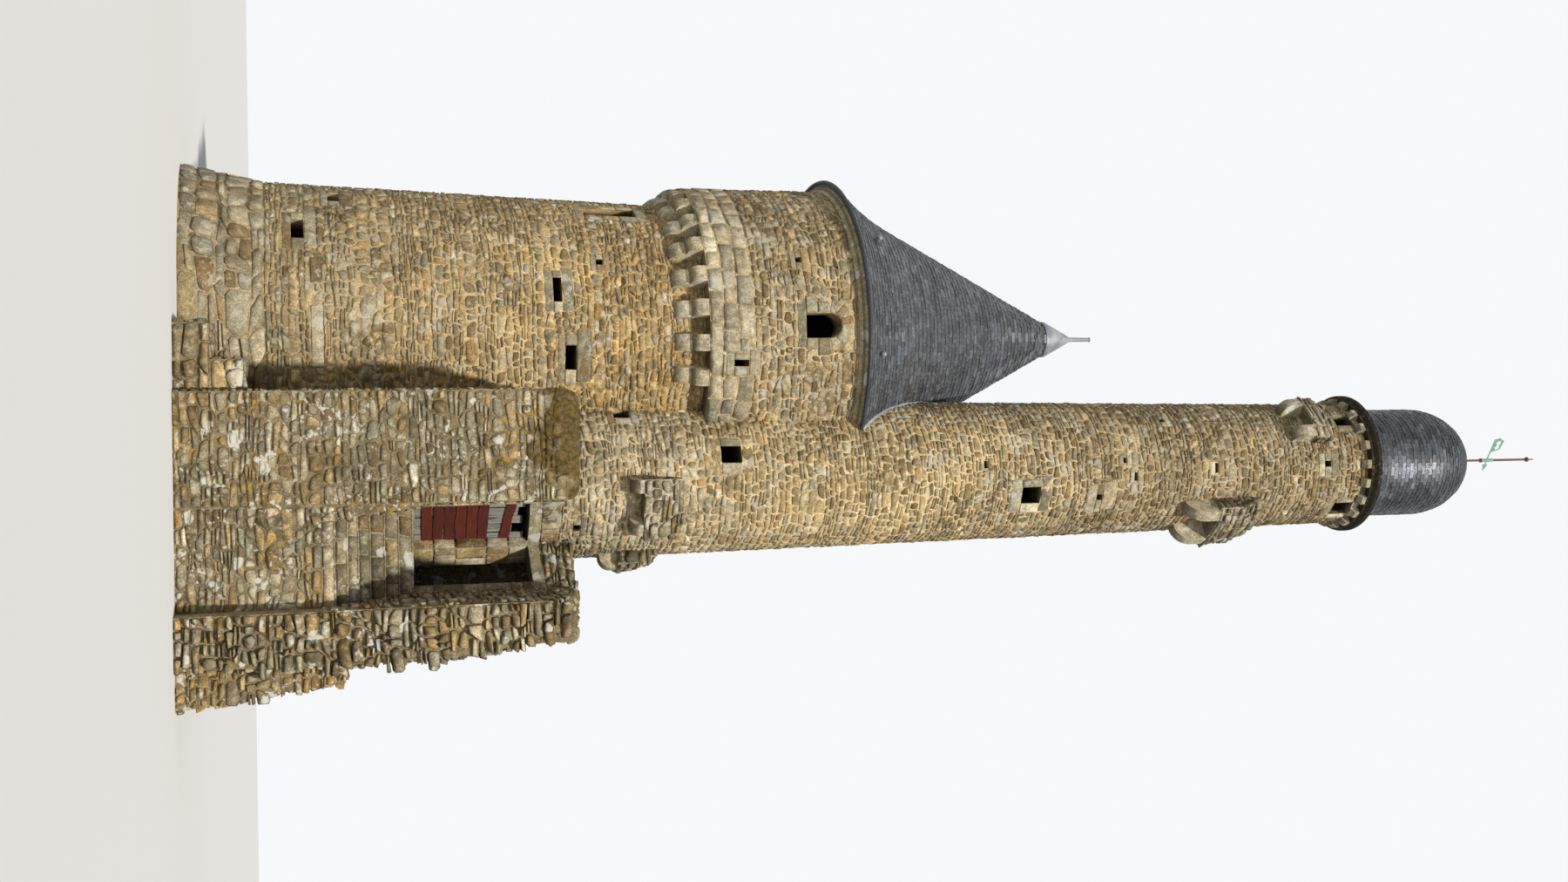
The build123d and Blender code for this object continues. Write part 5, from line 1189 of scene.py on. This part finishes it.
def stone_group():
    """Weathered stone: fine grain and soft blotches on the tint, dirt, pale and golden lichen where two
    noises agree, painted shade on what faces down, and moss on what faces up and above the moss level."""
    graph, given = new_group("Weathered stone", {
        "Tint": (0.4, 0.35, 0.26, 1), "Seed": 0.0, "Lichen": 0.5, "Gold Lichen": 0.3, "Moss": 0.3,
        "Dirt": 0.3, "Moss Level": 50.0, "Lichen Colour": (0.6, 0.58, 0.5, 1),
        "Gold Colour": (0.5, 0.33, 0.08, 1), "Moss Colour": (0.1, 0.1, 0.03, 1)})
    place = graph.place()
    own = graph.shifted(given["Seed"], place)
    grain, blotch = graph.noise(own, 42.0, 5.0), graph.noise(own, 8.0, 2.0)
    light = graph.times(graph.spread(grain, 0.34, 0.66, 0.6, 1.32),
                        graph.spread(blotch, 0.3, 0.7, 0.72, 1.24))
    colour = graph.mix(1.0, given["Tint"], light, "MULTIPLY")
    dirt = graph.times(graph.patches(place, 0.9, 3.0, 0.38, 0.56), graph.patches(place, 9.0, 5.0, 0.4, 0.58))
    colour = graph.mix(graph.times(dirt, given["Dirt"]), colour, (0.05, 0.038, 0.013, 1))
    pale = graph.times(graph.patches(place, 1.4, 2.0, 0.44, 0.62),
                       graph.patches(place, 15.0, 1.5, 0.59, 0.64))
    pale = graph.sum("MAXIMUM", pale, graph.patches(place, 2.9, 6.0, 0.62, 0.64))
    colour = graph.mix(graph.times(pale, given["Lichen"]), colour, given["Lichen Colour"])
    far = graph.vector("ADD", place, (31.0, 7.0, 11.0))
    gold = graph.times(graph.patches(far, 1.1, 2.0, 0.5, 0.66), graph.patches(far, 13.0, 4.0, 0.55, 0.62))
    colour = graph.mix(graph.times(gold, given["Gold Lichen"]), colour, given["Gold Colour"])
    upward = graph.rise(graph.add("ShaderNodeNewGeometry").outputs["Normal"])
    # Painted shade: faces that look down are darkened towards dark brown, as if in shadow.
    colour = graph.mix(graph.spread(upward, -0.35, -0.95, 0.0, 0.75), colour, (0.03, 0.024, 0.014, 1))
    moss = graph.times(graph.spread(upward, 0.25, 0.8), graph.patches(place, 5.0, 4.0, 0.4, 0.56))
    moss = graph.times(moss, given["Moss"])
    ragged = graph.sum("MULTIPLY_ADD", graph.noise(place, 1.3, 6.0), 2.6, graph.rise(place))
    above = graph.sum("SUBTRACT", ragged, given["Moss Level"])
    moss = graph.sum("MAXIMUM", moss, graph.spread(above, 1.25, 1.42, 0.0, 0.9))
    tuft = graph.patches(place, 16.0, 5.0, 0.36, 0.64, 0.3, 1.35)
    colour = graph.mix(moss, colour, graph.mix(1.0, given["Moss Colour"], tuft, "MULTIPLY"))
    graph.add("NodeGroupOutput", {"Color": colour, "Roughness": graph.spread(grain, 0.3, 0.7, 0.98, 0.8),
                                  "Height": graph.sum("ADD", grain, graph.times(blotch, 1.5))})


def slate_group():
    """Slate: the tint with cleaved cloudy grain and a little pale lichen."""
    graph, given = new_group("Cleaved slate", {"Tint": (0.1, 0.11, 0.13, 1), "Seed": 0.0, "Lichen": 0.3,
                                               "Gloss": 0.0})
    place = graph.place()
    grain = graph.noise(graph.shifted(given["Seed"], place), 30.0, 4.0)
    light = graph.times(graph.spread(grain, 0.3, 0.7, 0.85, 1.15),
                        graph.patches(place, 1.6, 3.0, 0.35, 0.65, 0.85, 1.2))
    colour = graph.mix(1.0, given["Tint"], light, "MULTIPLY")
    spots = graph.times(graph.patches(place, 19.0, 3.0, 0.58, 0.64), given["Lichen"])
    colour = graph.mix(spots, colour, (0.3, 0.3, 0.27, 1))
    dull = graph.sum("SUBTRACT", graph.spread(grain, 0.3, 0.7, 0.45, 0.68), given["Gloss"])
    graph.add("NodeGroupOutput", {"Color": colour, "Roughness": dull, "Height": grain})


def wood_group():
    """Weathered wood: noise drawn out along the grain turns the wood colour dark in thin cracks."""
    graph, given = new_group("Old wood", {"Vector": (0, 0, 0), "Wood": (0.3, 0.3, 0.3, 1),
                                          "Crack": (0.03, 0.03, 0.03, 1), "Seed": 0.0})
    own = graph.shifted(given["Seed"], given["Vector"])
    grain = graph.noise(own, 3.0, 6.0)
    crack = graph.patches(own, 1.6, 3.0, 0.6, 0.68)
    light = graph.times(graph.spread(grain, 0.3, 0.7, 0.65, 1.3),
                        graph.spread(given["Seed"], 0.0, 1.0, 0.8, 1.15))
    colour = graph.mix(crack, graph.mix(1.0, given["Wood"], light, "MULTIPLY"), given["Crack"])
    graph.add("NodeGroupOutput", {"Color": colour, "Roughness": graph.spread(grain, 0.3, 0.7, 0.6, 0.85),
                                  "Height": graph.sum("SUBTRACT", grain, crack)})


def metal_group():
    """Weathered metal: a base colour stained in patches by a second colour."""
    graph, given = new_group("Weathered metal", {"Base": (0.3, 0.3, 0.32, 1), "Stain": (0.2, 0.1, 0.05, 1),
                                                 "Amount": 0.5, "Scale": 10.0})
    place = graph.place()
    patch = graph.noise(place, given["Scale"], 4.0)
    grain = graph.noise(place, 60.0, 3.0)
    stain = graph.times(graph.spread(patch, 0.42, 0.62), given["Amount"])
    colour = graph.mix(1.0, graph.mix(stain, given["Base"], given["Stain"]),
                       graph.spread(grain, 0.3, 0.7, 0.85, 1.15), "MULTIPLY")
    graph.add("NodeGroupOutput", {"Color": colour, "Roughness": graph.spread(patch, 0.3, 0.7, 0.42, 0.7),
                                  "Height": grain})


def surface(name, group, inputs, bump, distance, attribute=False, drawn=None, ramp=None, metallic=0.0,
            specular=0.35, axis=(0, 0), depths=(0, 1), taper=0.0):
    """A material: the group's colour, roughness and height on one shader.  With attribute, the tint and
    seed of each stone or slate come from the mesh.  With drawn, a turn about the upright and three
    scales, the grain is drawn out.  With ramp, rows of a height and three shares, the tint is multiplied
    by the shares, and painted shade darkens it inwards, in the openings' reveals and the inner walls:
    where the distance to the tower's axis plus the taper times the height falls from the second shade
    depth to the first."""
    material = fresh(bpy.data.materials, name)
    material.use_nodes = True
    material.node_tree.nodes.clear()
    graph = Graph(material.node_tree)
    inputs = dict(inputs)
    if attribute:
        stone = graph.add("ShaderNodeAttribute", attribute_name="tint", attribute_type="GEOMETRY").outputs
        inputs["Seed"] = stone["Alpha"]
        if "Wood" not in inputs:
            inputs["Tint"] = stone["Color"]
    if ramp is not None:
        place = graph.place()
        height, top = graph.rise(place), ramp[-1][0]
        node = graph.add("ShaderNodeValToRGB", {0: graph.spread(height, 0.0, top)})
        stops = node.color_ramp.elements
        for index, (level, *shares) in enumerate(ramp):
            stop = stops[index] if index < 2 else stops.new(level / top)
            stop.position = level / top
            stop.color = (*(part * share for part, share in zip(inputs["Tint"], shares)), 1)
        # Painted shade: inwards from the wall's outer face the tint falls to a tenth, in reveals and inner
        # walls.
        flat = graph.vector("MULTIPLY_ADD", place, (1.0, 1.0, 0.0), (-axis[0], -axis[1], 0.0))
        away = graph.add("ShaderNodeVectorMath", {0: flat}, operation="LENGTH").outputs["Value"]
        reach = graph.sum("ADD", away, graph.times(height, taper))
        inputs["Tint"] = graph.mix(1.0, node.outputs[0], graph.spread(reach, *depths, 0.1, 1.0), "MULTIPLY")
    if drawn is not None:
        turned = {"Vector": graph.place(), "Rotation": (0.0, 0.0, drawn[0])}
        turned = graph.add("ShaderNodeMapping", turned).outputs[0]
        inputs["Vector"] = graph.vector("MULTIPLY", turned, drawn[1:])
    effect = graph.add("ShaderNodeGroup", inputs, node_tree=bpy.data.node_groups[group])
    relief = graph.add("ShaderNodeBump", {"Strength": bump, "Distance": distance,
                                          "Height": effect.outputs["Height"]})
    shader = graph.add("ShaderNodeBsdfPrincipled", {
        "Base Color": effect.outputs["Color"], "Roughness": effect.outputs["Roughness"],
        "Normal": relief.outputs[0], "Metallic": metallic, "Specular IOR Level": specular})
    graph.add("ShaderNodeOutputMaterial", {"Surface": shader.outputs[0]})
    return material


def make_materials(settings):
    """Every finish of the tower, from the settings' colours."""
    for build in (stone_group, slate_group, wood_group, metal_group):
        build()
    mortar = shade(settings.mortar_colour)
    colours = {"Lichen Colour": shade(settings.lichen_colour), "Gold Colour": shade(settings.gold_colour),
               "Moss Colour": shade(settings.moss_colour)}

    def stone(name, growth, tint=mortar, bump=0.6, distance=0.007, level=50.0, **options):
        """A finish of stone: growth is pale lichen, golden lichen, moss and dirt."""
        inputs = {**colours, **dict(zip(("Lichen", "Gold Lichen", "Moss", "Dirt"), growth)), "Tint": tint}
        surface(name, "Weathered stone", {**inputs, "Moss Level": level}, bump, distance, **options)

    heavy = (0.9, 0.8, 0.8, 0.55)
    stone("Tower rubble", (0.45, 0.2, 0.1, 0.35), bump=0.55, distance=0.006, attribute=True)
    stone("Torn rubble", (0.7, 0.9, 0.6, 0.6), attribute=True)
    for place, level in (("Block", 6.45), ("Buttress", 5.15)):
        stone("Mossy rubble" if place == "Buttress" else "Block rubble", heavy, level=level, attribute=True)
        stone(f"{place} mortar", heavy, shade(mortar, 0.36), 0.7, 0.02, level)
    # Both towers' mortars carry painted shade in their reveals and inner walls, set by their shade depths.
    stone("Watch tower mortar", (0.2, 0.1, 0.1, 0.7), distance=0.01, depths=(1.28, 1.38), taper=0.0136,
          ramp=((0.0, .78, .78, .8), (8.0, .92, .92, .92), (9.3, 1.0, 1.0, 1.0),
                (13.5, 1.0, 1.0, 1.0), (15.5, .78, .78, .8), (21.2, .66, .66, .68)))
    stone("Round tower mortar", (0.15, 0.1, 0.1, 0.7), distance=0.01, axis=ROUND_CENTRE, depths=(2.24, 2.42),
          ramp=((0.0, .5, .5, .52), (1.3, .62, .62, .62), (5.5, .9, .84, .74),
                (7.9, 1.0, .86, .64), (8.6, .8, .8, .82), (11.1, .8, .78, .76)))
    stone("Corbel stone", (0.9, 0.35, 0.3, 0.4), shade(settings.stone_pale), 0.7, 0.014)
    stone("Moss and turf", (0.3, 0.9, 0.9, 0.3), shade(settings.moss_colour, 2.2), 1.0, 0.04)
    stone("Dressed stone", (0.8, 0.3, 0.5, 0.3), shade(settings.stone_grey, 1.1), distance=0.012)
    # The cornice's dark tint is partly its weathered dark stone and partly painted shade of its underside.
    stone("Dark cornice", (0.12, 0.2, 0.3, 0.3), (0.024, 0.022, 0.018, 1), distance=0.012, specular=0.1)
    stone("Worn floor", (0.1, 0.0, 0.1, 0.3), shade(settings.stone_brown, 0.9), 0.4, 0.008)
    surface("Roof slate", "Cleaved slate", {"Lichen": 0.35}, 0.3, 0.003, attribute=True, specular=0.5)
    surface("Dome slate", "Cleaved slate", {"Lichen": 0.1, "Gloss": 0.1}, 0.3, 0.003, attribute=True,
            metallic=0.7, specular=0.6)
    surface("Slate bed", "Cleaved slate", {"Tint": shade(settings.slate_colour, 0.6), "Lichen": 0.1},
            0.3, 0.004)
    for name, base, stain, amount, scale, bump, distance, metallic in (
            ("Lead", settings.lead_colour, (0.5, 0.5, 0.47, 1), 0.6, 4.0, 0.3, 0.004, 0.35),
            ("Iron", settings.iron_colour, (0.22, 0.07, 0.03, 1), 0.8, 14.0, 0.4, 0.002, 0.5),
            ("Copper", settings.copper_colour, (0.12, 0.2, 0.15, 1), 0.6, 18.0, 0.3, 0.002, 0.2)):
        inputs = {"Base": shade(base), "Stain": stain, "Amount": amount, "Scale": scale}
        surface(name, "Weathered metal", inputs, bump, distance, metallic=metallic)
    for name, wood, crack, bump, distance, drawn in (
            ("Grey boards", settings.board_colour, (0.02, 0.018, 0.015, 1), 0.7, 0.004,
             (0.0, 26.0, 26.0, 1.6)),
            ("Red planks", settings.plank_colour, (0.03, 0.01, 0.008, 1), 0.5, 0.003,
             (math.radians(-DOOR_BEARING), 1.8, 26.0, 26.0))):
        surface(name, "Old wood", {"Wood": shade(wood), "Crack": crack}, bump, distance, attribute=True,
                drawn=drawn)


# Finish of each CAD node, by the starts of the nodes' names
NODE_FINISHES = (
    ("Watch tower mortar", ("watch_tower_wall", "watch_tower_back", "watch_tower_foot",
                            "watch_tower_door_wall", "watch_room_wall")),
    ("Round tower mortar", ("round_tower_plinth", "round_tower_wall", "gallery_wall", "gallery_slab")),
    ("Corbel stone", ("gallery_corbels", "box_remains")),
    ("Buttress mortar", ("stair_buttress",)),
    ("Block mortar", ("stair_core", "stair_parapet", "footing_stub", "flank_wall",
                      "return_wall", "chamber")),
    ("Dressed stone", ("stair_steps", "stair_landing", "gate_", "door_lintel", "door_sill",
                       "watch_tower_modillions", "round_tower_cornice")),
    ("Dark cornice", ("watch_tower_cornice",)),
    ("Worn floor", ("watch_room_floor", "round_tower_first_floor")),
    ("Slate bed", ("round_tower_roof", "watch_tower_dome")),
    ("Lead", ("roof_lead_cap",)),
    ("Iron", ("finial_rod", "door_straps", "door_pins")),
    ("Copper", ("vane_arrow", "vane_sleeve")),
    ("Grey boards", ("door_boards",)),
    ("Red planks", ("door_planks",)),
)


def colour_property(name, description, red, green, blue):
    """A colour setting from display values of 0 to 255."""
    return bpy.props.FloatVectorProperty(name=name, description=description, subtype="COLOR", size=3,
                                         min=0.0, max=1.0, default=linear(red, green, blue))


def length_property(name, description, value):
    """A length setting in metres."""
    return bpy.props.FloatProperty(name=name, description=description, default=value, min=0.001,
                                   subtype="DISTANCE", unit="LENGTH")


class TowerSettings(bpy.types.PropertyGroup):
    """Sizes and colours of the tower's masonry and roofs."""
    course_height: length_property("Course height", "Mean height of a course of rubble", 0.115)
    stone_width: length_property("Stone width", "Mean width of a rubble stone", 0.17)
    joint: length_property("Joint", "Width of the mortar between stones", 0.016)
    proud: length_property("Relief", "How far the stones stand out of the mortar", 0.017)
    slate_row: length_property("Slate row", "Height of each row of slates that shows", 0.1)
    stone_grey: colour_property("Grey stone", "Grey granite", 158, 147, 120)
    stone_gold: colour_property("Golden stone", "Golden rubble", 172, 150, 108)
    stone_brown: colour_property("Brown stone", "Brown rubble", 140, 120, 86)
    stone_ochre: colour_property("Ochre stone", "Orange-ochre rubble", 172, 140, 92)
    stone_pale: colour_property("Pale stone", "Pale dressed stone", 190, 178, 148)
    mortar_colour: colour_property("Mortar", "Cream lime mortar", 222, 198, 150)
    lichen_colour: colour_property("Pale lichen", "Grey-white lichen", 205, 203, 190)
    gold_colour: colour_property("Golden lichen", "Yellow-orange lichen", 176, 140, 58)
    moss_colour: colour_property("Moss", "Brown-green moss", 96, 78, 34)
    slate_colour: colour_property("Slate", "Blue-grey slate", 67, 69, 73)
    lead_colour: colour_property("Lead", "Weathered lead", 134, 140, 148)
    iron_colour: colour_property("Iron", "Rusty iron", 74, 62, 56)
    copper_colour: colour_property("Copper", "Green copper", 132, 170, 150)
    board_colour: colour_property("Boards", "Grey weathered boards", 150, 146, 138)
    plank_colour: colour_property("Planks", "Red-brown painted planks", 90, 38, 27)
    floor_colour: colour_property("Floor", "Pale studio floor", 232, 231, 228)


def settings_of(context):
    """The tower's settings in the open scene."""
    return context.scene.tower_masonry


class TOWER_OT_finish_frame(bpy.types.Operator):
    """Makes the finishes and puts one on every piece of the frame"""
    bl_idname = "tower.finish_frame"
    bl_label = "Finish the frame"

    def execute(self, context):
        make_materials(settings_of(context))
        for finish, starts in NODE_FINISHES:
            for name, node in frame["nodes"].items():
                if name.startswith(starts):
                    node.data.materials.clear()
                    node.data.materials.append(bpy.data.materials[finish])
        return {"FINISHED"}


class TOWER_OT_lay_watch_tower(bpy.types.Operator):
    """Lays the rubble and dressed stones of the watch tower"""
    bl_idname = "tower.lay_watch_tower"
    bl_label = "Lay the watch tower's stones"

    def execute(self, context):
        make_watch_stones(settings_of(context))
        return {"FINISHED"}


class TOWER_OT_lay_round_tower(bpy.types.Operator):
    """Lays the stones of the round tower's plinth and wall"""
    bl_idname = "tower.lay_round_tower"
    bl_label = "Lay the round tower's stones"

    def execute(self, context):
        make_round_stones(settings_of(context))
        return {"FINISHED"}


class TOWER_OT_lay_gallery(bpy.types.Operator):
    """Lays the stones of the corbelled storey and its round-headed window"""
    bl_idname = "tower.lay_gallery"
    bl_label = "Lay the corbelled storey's stones"

    def execute(self, context):
        make_gallery_stones(settings_of(context))
        return {"FINISHED"}


class TOWER_OT_lay_box_remains(bpy.types.Operator):
    """Lays the torn stones of the boxed machicolations"""
    bl_idname = "tower.lay_box_remains"
    bl_label = "Lay the torn boxes' stones"

    def execute(self, context):
        make_box_stones(settings_of(context))
        return {"FINISHED"}


class TOWER_OT_lay_stair_block(bpy.types.Operator):
    """Lays the stones of the buttress, stair, parapet and footing, and the moss on the buttress"""
    bl_idname = "tower.lay_stair_block"
    bl_label = "Lay the stair block"

    def execute(self, context):
        make_stair_stones(settings_of(context))
        make_steps(settings_of(context))
        make_moss_cap()
        return {"FINISHED"}


class TOWER_OT_lay_flank(bpy.types.Operator):
    """Lays the stones of the torn flanking wall and its low return"""
    bl_idname = "tower.lay_flank"
    bl_label = "Lay the flanking wall"

    def execute(self, context):
        make_flank_stones(settings_of(context))
        make_return_stones(settings_of(context))
        return {"FINISHED"}


class TOWER_OT_lay_chamber(bpy.types.Operator):
    """Lays the stones of the open doorway and the chamber behind it"""
    bl_idname = "tower.lay_chamber"
    bl_label = "Lay the chamber"

    def execute(self, context):
        make_chamber_stones(settings_of(context))
        return {"FINISHED"}


class TOWER_OT_hang_slates(bpy.types.Operator):
    """Hangs the slates of the cone and of the dome"""
    bl_idname = "tower.hang_slates"
    bl_label = "Hang the slates"

    def execute(self, context):
        make_roofs(settings_of(context))
        return {"FINISHED"}


class TOWER_OT_dress_lead(bpy.types.Operator):
    """Dresses lead into the valleys beside the watch tower and round two vents, and lays a slate-bed roll
    along the edge of the eaves
    """
    bl_idname = "tower.dress_lead"
    bl_label = "Dress the lead"

    def execute(self, context):
        for side, name in ((1, "valley_lead_front"), (-1, "valley_lead_back")):
            tube_along(name, valley_path(side, EAVES + 0.02, VALLEY_TOP), 0.05, "Lead", "lead")
        turn = np.linspace(0, 2 * math.pi, 361)[:-1]
        radius = EAVES_RADIUS + 0.01
        ring = np.stack([ROUND_CENTRE[0] + radius * np.sin(turn), ROUND_CENTRE[1] - radius * np.cos(turn),
                         np.full(360, EAVES + 0.005)], 1)
        within = inside_watch(ring)
        ring = np.roll(ring, -int(np.flatnonzero(within & ~np.roll(within, -1))[0]), axis=0)
        tube_along("eaves_edge", ring[~inside_watch(ring, 0.04)], 0.035, "Slate bed", "slate")
        for name, bearing, height in ROOF_VENTS:
            out = np.array((math.sin(math.radians(bearing)), -math.cos(math.radians(bearing)), 0.35))
            root = np.array((*ROUND_CENTRE, height)) + float(roof_radius(height)) * out * (1, 1, 0)
            tube_along(name, root + np.linspace(-0.03, 0.11, 6)[:, None] * out,
                       (0.045, 0.045, 0.045, 0.045, 0.052, 0.03), "Lead", "lead")
        return {"FINISHED"}


class TOWER_OT_hang_door(bpy.types.Operator):
    """Makes the weathered boards and the nailed planks of the door"""
    bl_idname = "tower.hang_door"
    bl_label = "Hang the door"

    def execute(self, context):
        edges = np.linspace(-BOARD_HALF, BOARD_HALF, len(BOARD_TOPS) + 1)
        boards = [(a + BOARD_GAP, b - BOARD_GAP, *BOARD_DEPTHS, BOARD_FOOT, top, 0.0)
                  for a, b, top in zip(edges[:-1], edges[1:], BOARD_TOPS)]
        make_boards("door_boards_weathered", boards, True, "Grey boards", 81, "grey_boards", ("door_boards",))
        rows = np.linspace(*PLANK_LEVELS, 7)
        planks = [(low + BOARD_GAP, high - BOARD_GAP, *PLANK_DEPTHS, -PLANK_HALF, PLANK_HALF, 0.0)
                  for low, high in zip(rows[:-1], rows[1:])]
        planks.append(LOOSE_PLANK)
        make_boards("door_planks_weathered", planks, False, "Red planks", 82, "red_planks", ("door_planks",))
        return {"FINISHED"}


def photo_view():
    """The photograph's view: the camera stands in front, looks up by its pitch and lies on its side, so
    that the picture's right is the tower's up."""
    pitch = math.radians(CAMERA_PITCH)
    right = Vector((1.0, 0.0, 0.0))
    rise = Vector((0.0, -math.sin(pitch), math.cos(pitch)))
    ahead = Vector((0.0, math.cos(pitch), math.sin(pitch)))
    picture_right = right * math.sin(CAMERA_ROLL) + rise * math.cos(CAMERA_ROLL)
    picture_up = rise * math.sin(CAMERA_ROLL) - right * math.cos(CAMERA_ROLL)
    turned = Matrix((picture_right, picture_up, -ahead)).transposed().to_4x4()
    return Matrix.Translation(CAMERA_PLACE) @ turned


class TOWER_OT_set_stage(bpy.types.Operator):
    """Sets the pale floor, the soft light and the camera at the photograph's angle"""
    bl_idname = "tower.set_stage"
    bl_label = "Set the stage"

    def execute(self, context):
        scene = context.scene
        floor = put("floor", bpy.data.meshes.new("floor"))
        half = FLOOR_HALF
        floor.data.from_pydata([(-half, -half, 0), (half, -half, 0), (half, half, 0), (-half, half, 0)], [],
                               [(0, 1, 2, 3)])
        paint = bpy.data.materials.new("Studio floor")
        paint.use_nodes = True
        shader = paint.node_tree.nodes["Principled BSDF"]
        shader.inputs["Base Color"].default_value = shade(settings_of(context).floor_colour)
        shader.inputs["Roughness"].default_value = 0.9
        floor.data.materials.append(paint)
        world = bpy.data.worlds.new("Studio sky")
        scene.world = world
        world.use_nodes = True
        world.node_tree.nodes.clear()
        graph = Graph(world.node_tree)
        path = graph.add("ShaderNodeLightPath").outputs
        seen = graph.sum("ADD", graph.sum("ADD", path["Is Camera Ray"], path["Is Glossy Ray"]),
                         path["Is Transmission Ray"])
        fill = graph.add("ShaderNodeBackground", {"Color": (0.93, 0.96, 1.0, 1), "Strength": WORLD_LIGHT})
        back = graph.add("ShaderNodeBackground", {"Color": (0.93, 0.94, 0.96, 1), "Strength": 1.0})
        both = graph.add("ShaderNodeMixShader", {0: seen, 1: fill.outputs[0], 2: back.outputs[0]})
        graph.add("ShaderNodeOutputWorld", {"Surface": both.outputs[0]})
        lamp = bpy.data.lights.new("soft_sun", "SUN")
        lamp.energy = SUN_LIGHT
        lamp.angle = math.radians(SUN_WIDTH)
        lamp.color = (1.0, 0.97, 0.92)
        sun = put("soft_sun", lamp)
        side, lift = math.radians(SUN_SIDE), math.radians(SUN_LIFT)
        toward = Vector((math.sin(side) * math.cos(lift), -math.cos(side) * math.cos(lift), math.sin(lift)))
        sun.rotation_euler = toward.to_track_quat("Z", "Y").to_euler()
        lens = bpy.data.cameras.new("photo_camera")
        lens.sensor_width = 36.0
        lens.lens = CAMERA_LENS
        lens.clip_end = 600.0
        camera = put("photo_camera", lens)
        camera.matrix_world = photo_view()
        scene.camera = camera
        scene.view_settings.view_transform = "Standard"
        return {"FINISHED"}


STEPS = (TOWER_OT_finish_frame, TOWER_OT_lay_watch_tower, TOWER_OT_lay_round_tower, TOWER_OT_lay_gallery,
         TOWER_OT_lay_box_remains, TOWER_OT_lay_stair_block, TOWER_OT_lay_flank, TOWER_OT_lay_chamber,
         TOWER_OT_hang_slates, TOWER_OT_dress_lead, TOWER_OT_hang_door, TOWER_OT_set_stage)


class TOWER_PT_masonry(bpy.types.Panel):
    """Lists the tower's settings and the steps that dress it"""
    bl_idname = "TOWER_PT_masonry"
    bl_label = "Tower masonry"
    bl_space_type = "VIEW_3D"
    bl_region_type = "UI"
    bl_category = "Tower"

    def draw(self, context):
        settings = settings_of(context)
        for name in TowerSettings.__annotations__:
            self.layout.prop(settings, name)
        for step in STEPS:
            self.layout.operator(step.bl_idname)


CLASSES = (TowerSettings, *STEPS, TOWER_PT_masonry)


def register():
    """Registers the classes and the settings."""
    for item in CLASSES:
        bpy.utils.register_class(item)
    bpy.types.Scene.tower_masonry = bpy.props.PointerProperty(type=TowerSettings)


def unregister():
    """Takes the settings and the classes out again."""
    del bpy.types.Scene.tower_masonry
    for item in reversed(CLASSES):
        bpy.utils.unregister_class(item)


def main():
    """Registers the add-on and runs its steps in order."""
    register()
    bpy.ops.tower.finish_frame()
    bpy.ops.tower.lay_watch_tower()
    bpy.ops.tower.lay_round_tower()
    bpy.ops.tower.lay_gallery()
    bpy.ops.tower.lay_box_remains()
    bpy.ops.tower.lay_stair_block()
    bpy.ops.tower.lay_flank()
    bpy.ops.tower.lay_chamber()
    bpy.ops.tower.hang_slates()
    bpy.ops.tower.dress_lead()
    bpy.ops.tower.hang_door()
    bpy.ops.tower.set_stage()


if __name__ == "__main__":
    main()
